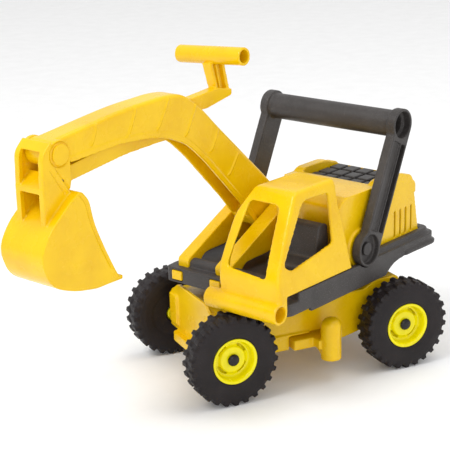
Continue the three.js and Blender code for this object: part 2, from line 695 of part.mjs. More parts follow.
function armFrame(along, across) {
  // Point on the arm, along from the top boss towards the pivot and across to its front.
  const dx = HANDLE_PIVOT.x - HANDLE_TOP.x;
  const dz = HANDLE_PIVOT.z - HANDLE_TOP.z;
  const length = Math.hypot(dx, dz);
  const down = { x: dx / length, z: dz / length };
  const front = { x: -down.z, z: down.x };
  return [
    HANDLE_TOP.x + down.x * along + front.x * across,
    HANDLE_TOP.z + down.z * along + front.z * across,
  ];
}

function handleGeometry() {
  const length = Math.hypot(HANDLE_PIVOT.x - HANDLE_TOP.x, HANDLE_PIVOT.z - HANDLE_TOP.z);
  const solids = [];
  const tools = [];
  for (const [side, out] of [["left", 1], ["right", -1]]) {
    const inner = ARM_INNER_Y[side];
    const outer = ARM_OUTER_Y[side];
    // A span across the arm, from near the inner face to beyond the outer one.
    const span = (a, b) => [Math.min(a, b), Math.max(a, b)];
    const arm = span(inner, outer);
    const blade = outline([
      armFrame(0, 8), armFrame(length, 8), armFrame(length, -12), armFrame(0, -12),
    ]);
    solids.push(plateXZ(blade, ...arm));
    solids.push(barY(UPPER_BOSS_RADIUS, HANDLE_TOP, ...arm, 24));
    solids.push(barY(LOWER_BOSS_RADIUS, HANDLE_PIVOT, ...arm, 24));
    const web = outline([
      armFrame(13.5, 5.6), armFrame(length - 14, 5.6),
      armFrame(length - 14, -4), armFrame(13.5, -4),
    ]);
    tools.push(plateXZ(web, ...span(outer - out * 2, outer + out * 3)));
    const pocket = outline([
      armFrame(13.5, -3.9), armFrame(length - 14.5, -3.9),
      armFrame(length - 14.5, -10.6), armFrame(13.5, -10.6),
    ]);
    tools.push(plateXZ(pocket, ...span(inner + out * 2, outer + out * 3)));
    tools.push(barY(UPPER_BOSS_RADIUS - 2, HANDLE_TOP, ...span(inner + out, outer + out * 9), 24));
    tools.push(barY(LOWER_BOSS_RADIUS - 1.8, HANDLE_PIVOT,
      ...span(inner + out * 3, outer + out * 9), 24));
    tools.push(barY(3 + GAP, HANDLE_PIVOT, ...span(inner - out * 4, outer + out * 9), 16));
  }
  const grip = barY(GRIP_RADIUS, HANDLE_TOP, ARM_INNER_Y.right - 1, ARM_INNER_Y.left + 1, 24);
  const gripBore = barY(GRIP_RADIUS - 2.2, HANDLE_TOP, -70, 70, 24);
  return cut(joined(grip, ...solids), gripBore, ...tools);
}
addPiece(upper, "carry_handle", DARK_GREY, handleGeometry());

// The left pin is held in the engine housing and the right one in the boom bracket.
for (const [side, out, root] of [
  ["left", 1, HOUSING_LEFT_Y - 4.5], ["right", -1, CHEEK_RIGHT[0] + 5],
]) {
  const headY = ARM_INNER_Y[side] + out * (3 + GAP);
  const bar = (radius, a, b) => barY(radius, HANDLE_PIVOT, Math.min(a, b), Math.max(a, b), 18);
  addPiece(upper, `handle_pin_${side}`, DARK_GREY,
    joined(bar(3, root, headY + out), bar(5, headY, headY + out * 2)));
}

// ---------------------------------------------------------------- boom

const boomSpan = [BOOM_Y - BOOM_HALF_WIDTH, BOOM_Y + BOOM_HALF_WIDTH];

function boomGeometry() {
  const side = outline([
    ...arcPoints(BUCKET_PIVOT, 9, -60, 90, 6),
    [178, 218.5],
    [152, 221.5],
    [112, 223.2, 7],
    [95, 221, 7],
    [77, 208.5, 8],
    [60, 191.8],
    [6, 141.8],
    ...arcPoints(BOOM_PIVOT, 15, 150, 290, 8),
    [37, 128],
    [77, 170, 12],
    [94, 185, 10],
    [114, 193.5, 10],
    [132, 197],
    [160, 198.8],
    [205, 196, 2],
  ]);
  const cavity = outline([
    [205, 180],
    [205, 212],
    [178, 216],
    [152, 219],
    [112, 220.6, 7],
    [96, 218.5, 7],
    [79, 206.5, 8],
    [62, 190],
    [9, 141],
    [20, 118],
    [46, 100],
    [100, 170],
    [140, 180],
  ]);
  const [y0, y1] = boomSpan;
  const leverSlot = plateXZ(outline([
    [97, 240], [97, 208], [80, 195], [42, 161], [28, 176], [60, 240],
  ]), BOOM_Y - 6.5, BOOM_Y + 5.2);
  const bucketPinHole = barY(3 + GAP, BUCKET_PIVOT, y0 - 5, y1 + 5, 16);
  const leverPinHole = barY(2.5 + GAP, LEVER_PIVOT, y0 + 1, y1 - 1, 16);
  const boomPinHole = barY(4 + GAP, BOOM_PIVOT, y0 - 5, y1 + 5, 20);
  return cut(plateXZ(side, y0, y1), plateXZ(cavity, y0 + WALL, y1 - WALL), leverSlot,
    bucketPinHole, leverPinHole, boomPinHole);
}
addPiece(upper, "boom", YELLOW, boomGeometry());

addPiece(upper, "lever_pin", STEEL,
  barY(2.5, LEVER_PIVOT, boomSpan[0] + 1.2, boomSpan[1] - 1.2, 16));

// ---------------------------------------------------------------- hand lever and push rod

function leverGeometry() {
  const rodPin = plus(LEVER_PIVOT, CRANK);
  const arm = outline([
    [37.5, 214],
    [37.5, 209.5, 2],
    [67, 204, 3],
    [LEVER_PIVOT.x - 6, 204],
    ...arcPoints(rodPin, 4.2, 170, 320, 5),
    ...arcPoints(LEVER_PIVOT, 6, -40, 110, 6),
    [80, 214.5],
    [53, 217],
  ]);
  const blade = plateXZ(arm, BOOM_Y - 4, BOOM_Y + 4);
  const tongueRoom = [[-10, -2], [2, 10]].map(([y0, y1]) =>
    box([60, 120], [BOOM_Y + y0, BOOM_Y + y1], [180, LEVER_PIVOT.z - 6.6]));
  const neck = plateXZ(outline([
    [57, GRIP_TUBE.z - 5], [51.5, 213], [56, 209], [37.2, 209.2, 2], [42, GRIP_TUBE.z - 5],
  ].reverse()), GRIP_Y - 4, GRIP_Y + 4);
  const hollow = plateXZ(outline([
    [54, 234], [50, 215.5], [41, 212.5], [44.5, 234],
  ].reverse()), GRIP_Y, GRIP_Y + 6);
  const rib = plateXZ(outline([
    [50, 236], [46.5, 212], [44.5, 212], [48, 236],
  ].reverse()), GRIP_Y - 2, GRIP_Y + 2.5);
  const grip = barY(GRIP_TUBE_RADIUS, GRIP_TUBE,
    GRIP_Y - GRIP_TUBE_HALF_LENGTH, GRIP_Y + GRIP_TUBE_HALF_LENGTH, 24);
  const bore = barY(GRIP_TUBE_RADIUS - 1.8, GRIP_TUBE,
    GRIP_Y + GRIP_TUBE_HALF_LENGTH - 12, GRIP_Y + GRIP_TUBE_HALF_LENGTH + 2, 24);
  const handPart = cut(joined(cut(neck, hollow), rib, grip), bore);
  handPart.translate(0, -GRIP_Y, -GRIP_TILT_Z);
  handPart.rotateX(GRIP_TILT);
  handPart.translate(0, GRIP_Y, GRIP_TILT_Z);
  const pivotHole = barY(2.5 + GAP, LEVER_PIVOT, BOOM_Y - 8, BOOM_Y + 8, 16);
  const rodHole = barY(1.8 + GAP, rodPin, BOOM_Y - 8, BOOM_Y + 8, 14);
  return cut(joined(cut(blade, ...tongueRoom), handPart), pivotHole, rodHole);
}
addPiece(upper, "hand_lever", YELLOW, leverGeometry());

function rodGeometry() {
  const rear = plus(LEVER_PIVOT, CRANK);
  const front = plus(BUCKET_PIVOT, CRANK);
  const side = outline([
    ...arcPoints(rear, 4.2, 110, 250, 5),
    [112, 190.5, 6],
    [150, 189, 8],
    [front.x - 10, front.z - 5.5, 2],
    ...arcPoints(front, 5, -70, 70, 5),
    [front.x - 10, front.z + 5, 2],
    [150, 201, 8],
    [112, 201, 8],
  ]);
  const bar = plateXZ(side, BOOM_Y - 5, BOOM_Y + 5);
  const fork = box([rear.x - 8, rear.x + 12], [BOOM_Y - 2.4, BOOM_Y + 2.4], [180, 206]);
  const rearHole = barY(1.8 + GAP, rear, BOOM_Y - 8, BOOM_Y + 8, 14);
  const frontHole = barY(2.2 + GAP, front, BOOM_Y - 8, BOOM_Y + 8, 14);
  return cut(bar, fork, rearHole, frontHole);
}
addPiece(upper, "push_rod", YELLOW, rodGeometry());

const rearRodPin = plus(LEVER_PIVOT, CRANK);
const frontRodPin = plus(BUCKET_PIVOT, CRANK);
addPiece(upper, "rod_pin_rear", STEEL, barY(1.8, rearRodPin, BOOM_Y - 5.4, BOOM_Y + 5.4, 14));

// ---------------------------------------------------------------- bucket

function bucketGeometry() {
  const w = BUCKET_HALF_WIDTH;
  const shellSide = outline([
    [176, 111],
    [197, 110, 4],
    [217, 113.5, 8],
    [238, 122, 16],
    [245, 143, 12],
    [236.5, 157.5, 8],
    [214, 176, 3],
    [207, 179.5, 3],
    [200.5, 172, 4],
    [197, 155, 8],
    [189.5, 137.5, 8],
    [181, 120, 4],
  ]);
  const shell = plateXZ(shellSide, BOOM_Y - w, BOOM_Y + w);
  const inside = outline([
    [160, 113.4],
    [196, 112.4, 4],
    [216, 116, 8],
    [235.6, 124, 14],
    [242.2, 143, 11],
    [234.3, 156, 7],
    [212, 174.4, 2],
    [200, 178],
    [180, 170],
  ]);
  const hollow = plateXZ(inside, BOOM_Y - w + WALL, BOOM_Y + w - WALL);
  const earSide = outline([
    ...arcPoints(BUCKET_PIVOT, 9.4, 40, 200, 8),
    [208, 186, 3],
    [210.5, 177],
    [214, 174.6],
    [231.5, 160.2],
    [232.5, 180],
    [231.5, 205, 6],
  ]);
  const ears = [
    plateXZ(earSide, BOOM_Y + EAR_INNER, BOOM_Y + EAR_OUTER),
    plateXZ(earSide, BOOM_Y - EAR_OUTER, BOOM_Y - EAR_INNER),
  ];
  const front = plateXZ(outline([
    [229.2, 160.6], [233, 158.2], [233, 180], [232, 206, 4], [224, 213.8, 1],
    [222.5, 212.4], [228.2, 206, 4], [229.2, 180],
  ]), BOOM_Y - EAR_OUTER, BOOM_Y + EAR_OUTER);
  const windows = [
    box([222, 240], [BOOM_Y - 9, BOOM_Y + 9], [184.5, 208]),
    box([222, 240], [BOOM_Y - 9, BOOM_Y + 9], [150, 181]),
  ];
  const shelf = plateXZ(outline([
    [233, 181], [233, 184.5], [222.5, 192.5], [221, 190.5],
  ]), BOOM_Y - EAR_OUTER, BOOM_Y + EAR_OUTER);
  const lip = box([174, 190], [BOOM_Y - w, BOOM_Y + w], [110.4, 113]);
  const rodRoom = box([190, 212], [BOOM_Y - 6.5, BOOM_Y + 6.5], [169, 190]);
  const body = joined(cut(shell, hollow, rodRoom), ...ears, cut(front, ...windows), shelf, lip);
  const holes = [
    barY(3 + GAP, BUCKET_PIVOT, BOOM_Y - 30, BOOM_Y + 30, 16),
    barY(2.2 + GAP, frontRodPin, BOOM_Y - EAR_OUTER + 1.2, BOOM_Y + EAR_OUTER - 1.2, 14),
  ];
  return cut(body, ...holes);
}
addPiece(upper, "bucket", YELLOW, bucketGeometry());

addPiece(upper, "bucket_pin", YELLOW, joined(
  barY(3, BUCKET_PIVOT, BOOM_Y - EAR_OUTER - 1, BOOM_Y + EAR_OUTER + 1, 16),
  barY(7, BUCKET_PIVOT, BOOM_Y + EAR_OUTER + GAP, BOOM_Y + EAR_OUTER + 1.4, 24),
  barY(7, BUCKET_PIVOT, BOOM_Y - EAR_OUTER - 1.4, BOOM_Y - EAR_OUTER - GAP, 24)));
addPiece(upper, "rod_pin_front", STEEL,
  barY(2.2, frontRodPin, BOOM_Y - EAR_OUTER + 1.5, BOOM_Y + EAR_OUTER - 1.5, 14));

// ---------------------------------------------------------------- origin

const bounds = new THREE.Box3().setFromObject(model, true);
const centre = bounds.getCenter(new THREE.Vector3());
machine.position.set(-centre.x, -centre.y, -bounds.min.z);

export default model;
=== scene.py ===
"""The looks of the toy wheeled excavator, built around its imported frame.

Shapes are laid out in millimetres about the slew axis, with heights taken from a level 33 mm
below the axles. The chassis keeps the frame's axes, and the upper carriage has its own:
x forwards along the cab, y to the left, z up.
"""

import json
import math

import bmesh
import bpy
from mathutils import Matrix, Vector


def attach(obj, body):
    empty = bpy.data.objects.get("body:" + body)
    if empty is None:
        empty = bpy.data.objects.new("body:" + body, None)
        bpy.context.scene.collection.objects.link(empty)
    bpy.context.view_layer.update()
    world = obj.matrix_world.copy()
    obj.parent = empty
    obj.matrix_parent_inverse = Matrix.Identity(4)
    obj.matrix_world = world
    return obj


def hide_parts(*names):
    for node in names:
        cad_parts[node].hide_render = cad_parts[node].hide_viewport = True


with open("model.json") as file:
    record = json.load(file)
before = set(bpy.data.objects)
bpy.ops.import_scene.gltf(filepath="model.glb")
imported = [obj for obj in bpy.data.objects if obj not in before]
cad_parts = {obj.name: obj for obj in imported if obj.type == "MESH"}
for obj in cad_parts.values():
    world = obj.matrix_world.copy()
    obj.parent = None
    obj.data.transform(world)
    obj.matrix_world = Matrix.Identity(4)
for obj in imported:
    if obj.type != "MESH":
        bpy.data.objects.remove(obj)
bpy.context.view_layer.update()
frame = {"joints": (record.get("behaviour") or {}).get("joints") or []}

# ------------------------------------------------------------------ where things are

JOINTS = {joint["name"]: joint for joint in frame["joints"]}
SLEW_HEIGHT = 0.070  # of the slew joint above the level that heights are taken from
SLEW = Vector(JOINTS["slew"]["pos_m"]) - Vector((0, 0, SLEW_HEIGHT))
ACROSS = Vector(JOINTS["lever_pivot"]["axis"])
TURN = math.atan2(-ACROSS.x, ACROSS.y)

CHASSIS_SPACE = Matrix.Translation(SLEW) @ Matrix.Scale(0.001, 4)
UPPER_SPACE = CHASSIS_SPACE @ Matrix.Rotation(TURN, 4, "Z")

WALL = 2.4

AXLE_Z = 33
AXLE_RADIUS = 2.5
AXLE_HALF_LENGTH = 60.8
FRONT_AXLE_X = 80.7
REAR_AXLE_X = -62.7
TYRE_RADIUS = 34.4
TYRE_OUTER_Y = 65.3
TYRE_INNER_Y = 45.7
RIM_RADIUS = 17.5
TYRE_BORE_RADIUS = 7
TREAD_BASE_RADIUS = 32.9
LUG_COUNT = 26  # on each shoulder of a tyre
HUB_FACE_Y = 59.6

CHASSIS_HALF = 38
CHASSIS_FRONT_X = 86.4
CHASSIS_REAR_X = -71
CHASSIS_TOP_Z = 58
CHASSIS_REAR_TOP_Z = 64
TURNTABLE_RADIUS = 34
KING_BOSS_RADIUS = 9
POST_X = -2.3
POST_Y = 54
POST_RADIUS = 7.8
POST_BOTTOM_Z = 15.5
POST_TOP_Z = 48
DOME_HEIGHT = 6.2

DECK_FRONT_X = 78
DECK_TONGUE_X = 86.2
DECK_REAR_X = -104
DECK_HALF = 62.5
DECK_SKIN = 3
DECK_TOP_Z = 82
DECK_UNDER_Z = 78
RAIL_TOP_Z = 85.6
SKIRT_Z = 67.8
REAR_SKIRT_Z = 76.4
REAR_RIM_Z = 89.5
BASE_Z = 82.3  # underside of what stands on the deck

CAB_REAR_X = 16.3
CAB_ROOF_Z = 153.5
TUBE = (94.5, 75.6)
TUBE_RADIUS = 7.6

HOUSING_LEFT_Y = 54
HOUSING_RIGHT_Y = -24
SIDE_BOX_Y = -54
HOUSING_FRONT_X = 16
HOUSING_REAR_X = -91
HOUSING_TOP_Z = 136.5
HOUSING_RAIL_Z = 139.5
COVER_FRONT_X = -35
COVER_REAR_X = -80
COVER_BED_Z = 127.5
LOUVRE_FRONT_X = -57.3
LOUVRE_PITCH = 7.4

LEG_CENTRES = (-49.5, -12)  # y of the bracket's legs
LEG_HALF = 5
CHEEK_LEFT = (-18, -4)
CHEEK_RIGHT = (-54.5, -44)
WASHER_RADIUS = 14

BOOM_Y = -29.5
BOOM_HALF = 10
BOOM_PIVOT = (-3, 112)
BUCKET_PIVOT = (217, 204.5)
LEVER_PIVOT = (98, 211)
ROD_REAR = (94.5, 194)
ROD_FRONT = (213.5, 187.5)
EAR_INNER = 10.3
EAR_OUTER = 13.3
BUCKET_HALF = 20.3

HANDLE_PIVOT = (-9.6, 95.1)
HANDLE_TOP = (-51.4, 181.1)
HANDLE_TOP_RADIUS = 12
HANDLE_PIVOT_RADIUS = 13
GRIP_RADIUS = 10

# ------------------------------------------------------------------ mesh helpers


def new_mesh(points, faces):
    """A bare mesh from points and faces."""
    mesh = bpy.data.meshes.new("shape")
    mesh.from_pydata([tuple(p) for p in points], [], faces)
    mesh.validate()
    return mesh


def outline(corners, steps=7):
    """Points round a shape with corners (a, b) or (a, b, radius), rounded where asked."""
    points = []
    count = len(corners)
    for i, corner in enumerate(corners):
        here = Vector(corner[:2])
        radius = corner[2] if len(corner) > 2 else 0
        before = Vector(corners[i - 1][:2]) - here
        after = Vector(corners[(i + 1) % count][:2]) - here
        if radius <= 0:
            points.append(here)
            continue
        reach = min(radius, before.length * 0.48, after.length * 0.48)
        start = here + before.normalized() * reach
        end = here + after.normalized() * reach
        for k in range(steps + 1):
            t = k / steps
            points.append(start * (1 - t) ** 2 + here * 2 * t * (1 - t) + end * t * t)
    return points


def arc(centre, radius, start, end, steps=16):
    """Points along an arc, in degrees from the first axis."""
    points = []
    for k in range(steps + 1):
        angle = math.radians(start + (end - start) * k / steps)
        points.append((centre[0] + radius * math.cos(angle),
                       centre[1] + radius * math.sin(angle)))
    return points


# Where a point (a, b) of an outline lands when it is carried to t along an axis.
PLACE = {
    "x": lambda a, b, t: (t, a, b),
    "y": lambda a, b, t: (a, t, b),
    "z": lambda a, b, t: (a, b, t),
}


def prism(points, axis, low, high, top=None):
    """An outline carried along an axis. The other two axes keep their x, y, z order.
    A second outline, with as many points, may close the high end."""
    points = [tuple(p) for p in points]
    far = [tuple(p) for p in (top or points)]
    count = len(points)
    place = PLACE[axis]
    rows = [place(a, b, low) for a, b in points] + [place(a, b, high) for a, b in far]
    near_cap = list(range(count))
    far_cap = [count + i for i in reversed(range(count))]
    faces = [near_cap, far_cap]
    for i in range(count):
        j = (i + 1) % count
        faces.append([j, i, count + i, count + j])
    mesh = new_mesh(rows, faces)
    fix_facing(mesh)
    return mesh


def fix_facing(mesh):
    """Turns every face outwards."""
    bm = bmesh.new()
    bm.from_mesh(mesh)
    bmesh.ops.recalc_face_normals(bm, faces=bm.faces)
    if bm.calc_volume(signed=True) < 0:
        bmesh.ops.reverse_faces(bm, faces=bm.faces)
    bm.to_mesh(mesh)
    bm.free()


UPRIGHT = Matrix.Rotation(math.pi / 2, 4, "X")  # turns a line along y into one along z


def block(x, y, z):
    """A box between the two ends of x, y and z."""
    return prism([(x[0], y[0]), (x[1], y[0]), (x[1], y[1]), (x[0], y[1])], "z", z[0], z[1])


def bar(radius, centre, low, high, axis="y", sides=48):
    """A round bar along an axis, round a centre given by the other two coordinates."""
    return prism(arc(centre, radius, 0, 360, sides)[:-1], axis, low, high)


def turned(profile, centre, sides=72):
    """A closed profile of (radius, y) turned about a line along y through centre (x, z)."""
    points = []
    faces = []
    rings = []
    for radius, y in profile:
        if radius < 1e-6:
            rings.append([len(points)] * sides)
            points.append((centre[0], y, centre[1]))
            continue
        rings.append(list(range(len(points), len(points) + sides)))
        for k in range(sides):
            angle = 2 * math.pi * k / sides
            points.append((centre[0] + radius * math.cos(angle), y,
                           centre[1] + radius * math.sin(angle)))
    for i, ring in enumerate(rings):
        other = rings[(i + 1) % len(rings)]
        for k in range(sides):
            j = (k + 1) % sides
            corners = [ring[k], ring[j], other[j], other[k]]
            unique = list(dict.fromkeys(corners))
            if len(unique) > 2:
                faces.append(unique)
    mesh = new_mesh(points, faces)
    fix_facing(mesh)
    return mesh


def hose(points, radius, sides=8):
    """A round bead that follows a line of points, closed at both ends."""
    points = [Vector(p) for p in points]
    rows = []
    for i, p in enumerate(points):
        ahead = points[min(i + 1, len(points) - 1)]
        behind = points[max(i - 1, 0)]
        along = (ahead - behind).normalized()
        side = along.cross(Vector((0, 1, 0)))
        if side.length < 1e-3:
            side = along.cross(Vector((1, 0, 0)))
        side.normalize()
        up = side.cross(along)
        for k in range(sides):
            angle = 2 * math.pi * k / sides
            rows.append(p + side * radius * math.cos(angle) + up * radius * math.sin(angle))
    faces = [list(range(sides))]
    last = (len(points) - 1) * sides
    faces.append([last + k for k in range(sides)])
    for i in range(len(points) - 1):
        for k in range(sides):
            j = (k + 1) % sides
            faces.append([i * sides + k, i * sides + j,
                          (i + 1) * sides + j, (i + 1) * sides + k])
    mesh = new_mesh(rows, faces)
    fix_facing(mesh)
    return mesh


def moved(mesh, matrix):
    """A copy of a mesh in another place."""
    copy = mesh.copy()
    copy.transform(matrix)
    if matrix.determinant() < 0:
        copy.flip_normals()
    return copy


def in_scene(mesh, name="work"):
    """An object that shows a mesh."""
    thing = bpy.data.objects.new(name, mesh)
    bpy.context.scene.collection.objects.link(thing)
    return thing


def applied(thing):
    """The mesh of an object with its modifiers applied. The object is removed."""
    depsgraph = bpy.context.evaluated_depsgraph_get()
    mesh = bpy.data.meshes.new_from_object(thing.evaluated_get(depsgraph))
    bpy.data.objects.remove(thing)
    return mesh


def combine(base, tools, operation):
    """Joins, cuts or intersects a mesh with others, which are used up."""
    thing = in_scene(base.copy())
    helpers = []
    for tool in tools:
        helper = in_scene(tool)
        helpers.append(helper)
        step = thing.modifiers.new("join", "BOOLEAN")
        step.operation = operation
        step.solver = "MANIFOLD"
        step.object = helper
    mesh = applied(thing)
    for helper in helpers:
        bpy.data.objects.remove(helper)
    return mesh


def join(first, *rest):
    return combine(first, rest, "UNION")


def cut(base, *tools):
    return combine(base, tools, "DIFFERENCE")


def common(base, *tools):
    return combine(base, tools, "INTERSECT")


def moulded(mesh, grain=0.7, passes=5, keep=0.35):
    """Rounds every edge as a mould would, then thins out the flat parts."""
    thing = in_scene(mesh)
    remesh = thing.modifiers.new("even", "REMESH")
    remesh.mode = "VOXEL"
    remesh.voxel_size = grain
    remesh.use_smooth_shade = True
    soften = thing.modifiers.new("soften", "SMOOTH")
    soften.factor = 0.5
    soften.iterations = passes
    if keep < 1:
        thin = thing.modifiers.new("thin", "DECIMATE")
        thin.ratio = keep
    return applied(thing)


def show(name, mesh, body, nodes, material, space=UPPER_SPACE):
    """Puts a finished piece in place of its CAD nodes, riding on their body."""
    mesh.transform(space)
    mesh.name = name
    mesh.materials.clear()
    mesh.materials.append(material)
    for polygon in mesh.polygons:
        polygon.use_smooth = True
    piece = in_scene(mesh, name)
    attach(piece, body)
    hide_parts(*nodes)
    return piece


# ------------------------------------------------------------------ materials


def grain(nodes, links, coordinates, scale, detail=4.0, roughness=0.5):
    """A noise value at a scale."""
    noise = nodes.new("ShaderNodeTexNoise")
    noise.inputs["Scale"].default_value = scale
    noise.inputs["Detail"].default_value = detail
    noise.inputs["Roughness"].default_value = roughness
    links.new(coordinates, noise.inputs["Vector"])
    return noise.outputs["Fac"]


def ramp(nodes, links, value, stops):
    """A colour read off a value, through stops of (place, colour)."""
    node = nodes.new("ShaderNodeValToRGB")
    while len(node.color_ramp.elements) < len(stops):
        node.color_ramp.elements.new(0.5)
    for element, (place, colour) in zip(node.color_ramp.elements, stops):
        element.position = place
        element.color = (*colour, 1)
    links.new(value, node.inputs["Fac"])
    return node.outputs["Color"]


def spread(nodes, links, value, low, high, to_low, to_high):
    """A value between low and high, mapped on to another range."""
    node = nodes.new("ShaderNodeMapRange")
    node.inputs["From Min"].default_value = low
    node.inputs["From Max"].default_value = high
    node.inputs["To Min"].default_value = to_low
    node.inputs["To Max"].default_value = to_high
    links.new(value, node.inputs["Value"])
    return node.outputs["Result"]


def blend(nodes, links, amount, below, above):
    """One colour over another, by an amount."""
    node = nodes.new("ShaderNodeMix")
    node.data_type = "RGBA"
    links.new(amount, node.inputs[0])
    links.new(below, node.inputs[6])
    links.new(above, node.inputs[7])
    return node.outputs[2]


DRIFT_SCALE = 38
SMUDGE_SCALE = 60
COAT_ROUGHNESS = 0.12


def finish_of(name, tones, speck, speck_scale, speck_share, rough, bump, metal=0.0, coat=0.0,
              gloss=0.5):
    """A moulded plastic or metal: slow colour drift, fine specks, worn gloss and grain.
    tones: three linear colours from deep to light. speck: colour of the specks.
    rough: lowest and highest roughness. bump: scale, strength and height of the grain."""
    material = bpy.data.materials.new(name)
    material.use_nodes = True
    nodes = material.node_tree.nodes
    links = material.node_tree.links
    nodes.clear()
    output = nodes.new("ShaderNodeOutputMaterial")
    shader = nodes.new("ShaderNodeBsdfPrincipled")
    links.new(shader.outputs["BSDF"], output.inputs["Surface"])
    place = nodes.new("ShaderNodeTexCoord").outputs["Object"]

    drift = grain(nodes, links, place, DRIFT_SCALE, 5, 0.55)
    tone = ramp(nodes, links, drift, [(0.3, tones[0]), (0.5, tones[1]), (0.7, tones[2])])
    fine = grain(nodes, links, place, speck_scale, 2, 0.4)
    is_speck = spread(nodes, links, fine, 1 - speck_share, 1 - speck_share + 0.06, 0, 1)
    speck_tone = ramp(nodes, links, drift, [(0.3, speck), (0.7, [c * 1.15 for c in speck])])
    links.new(blend(nodes, links, is_speck, tone, speck_tone), shader.inputs["Base Color"])

    smudge = grain(nodes, links, place, SMUDGE_SCALE, 6, 0.6)
    links.new(spread(nodes, links, smudge, 0.3, 0.7, rough[0], rough[1]),
              shader.inputs["Roughness"])
    shader.inputs["Metallic"].default_value = metal
    shader.inputs["Specular IOR Level"].default_value = gloss
    shader.inputs["Coat Weight"].default_value = coat
    shader.inputs["Coat Roughness"].default_value = COAT_ROUGHNESS

    scale, strength, distance = bump
    height = grain(nodes, links, place, scale, 3, 0.5)
    relief = nodes.new("ShaderNodeBump")
    relief.inputs["Strength"].default_value = strength
    relief.inputs["Distance"].default_value = distance
    links.new(height, relief.inputs["Height"])
    links.new(relief.outputs["Normal"], shader.inputs["Normal"])
    return material


YELLOW = finish_of(
    "yellow_plastic",
    tones=[(0.81, 0.475, 0.0), (0.87, 0.54, 0.0), (0.91, 0.58, 0.0)],
    speck=(0.72, 0.38, 0.0), speck_scale=1500, speck_share=0.30,
    rough=(0.20, 0.32), bump=(900, 0.06, 0.0002), coat=0.1, gloss=0.35)
LEMON = finish_of(
    "rim_yellow_plastic",
    tones=[(0.82, 0.71, 0.0), (0.88, 0.78, 0.0), (0.92, 0.82, 0.0)],
    speck=(0.70, 0.58, 0.0), speck_scale=1500, speck_share=0.28,
    rough=(0.18, 0.30), bump=(900, 0.05, 0.0002), coat=0.15, gloss=0.35)
GREY = finish_of(
    "dark_grey_plastic",
    tones=[(0.034, 0.030, 0.029), (0.043, 0.038, 0.036), (0.053, 0.047, 0.045)],
    speck=(0.16, 0.15, 0.145), speck_scale=2400, speck_share=0.36,
    rough=(0.38, 0.55), bump=(1300, 0.22, 0.0003), gloss=0.4)
RUBBER = finish_of(
    "tyre_rubber",
    tones=[(0.0085, 0.0058, 0.0064), (0.012, 0.0083, 0.009), (0.017, 0.012, 0.013)],
    speck=(0.035, 0.028, 0.03), speck_scale=2000, speck_share=0.34,
    rough=(0.45, 0.62), bump=(1000, 0.2, 0.0003), gloss=0.3)
CAP = finish_of(
    "cap_black_plastic",
    tones=[(0.006, 0.005, 0.006), (0.008, 0.007, 0.008), (0.012, 0.010, 0.011)],
    speck=(0.03, 0.028, 0.03), speck_scale=1800, speck_share=0.3,
    rough=(0.16, 0.28), bump=(900, 0.05, 0.0002), gloss=0.4)
STEEL = finish_of(
    "steel",
    tones=[(0.52, 0.53, 0.55), (0.58, 0.59, 0.61), (0.64, 0.65, 0.67)],
    speck=(0.38, 0.38, 0.39), speck_scale=1500, speck_share=0.3,
    rough=(0.26, 0.40), bump=(1200, 0.1, 0.0002), metal=1.0)
FLOOR = finish_of(
    "pale_floor",
    tones=[(0.93, 0.93, 0.93), (0.95, 0.95, 0.95), (0.97, 0.97, 0.97)],
    speck=(0.91, 0.91, 0.91), speck_scale=300, speck_share=0.3,
    rough=(0.7, 0.8), bump=(200, 0.03, 0.0005), gloss=0.1)

# ------------------------------------------------------------------ wheels


def tyre_carcass():
    inner, outer = TYRE_INNER_Y, TYRE_OUTER_Y
    base = TREAD_BASE_RADIUS
    bead = RIM_RADIUS + 0.4
    seat = 15.4  # where the tyre sits on the rim
    return turned([
        (seat, inner + 3.2), (TYRE_BORE_RADIUS, inner + 3.2), (TYRE_BORE_RADIUS, inner + 0.8),
        (bead, inner + 0.8), (20, inner + 0.35), (25, inner), (29, inner + 0.4),
        (31.8, inner + 1.6), (base, inner + 4), (base + 0.3, (inner + outer) / 2),
        (base, outer - 4), (31.8, outer - 1.6), (29, outer - 0.4), (25, outer),
        (20, outer - 0.35), (bead, outer - 1.2), (seat, outer - 4),
    ], (0, 0), 96)


def tread_lug(side, index):
    """One lug, from near the middle of the tread to a shoulder. side is 1 for the outer one."""
    half = 2.3
    root = 30.4
    taper = 0.82
    middle = (TYRE_OUTER_Y + TYRE_INNER_Y) / 2 + side * 1.0
    edge = TYRE_OUTER_Y - 0.5 if side > 0 else TYRE_INNER_Y + 0.5
    plan = [(-half, middle), (half - 0.7, middle), (half, edge), (-half + 0.3, edge)]
    top = [(a * taper, b + (0.9 * -side if b == edge else 0.5 * side)) for a, b in plan]
    lug = prism(plan, "z", root, TYRE_RADIUS - 0.1, top)
    stagger = 0.5 if side < 0 else 0
    lug.transform(Matrix.Rotation(2 * math.pi * (index + stagger) / LUG_COUNT, 4, "Y"))
    return lug


def tyre_shape():
    lugs = [tread_lug(side, i) for side in (1, -1) for i in range(LUG_COUNT)]
    return moulded(join(tyre_carcass(), *lugs), 0.55, 3, 0.5)


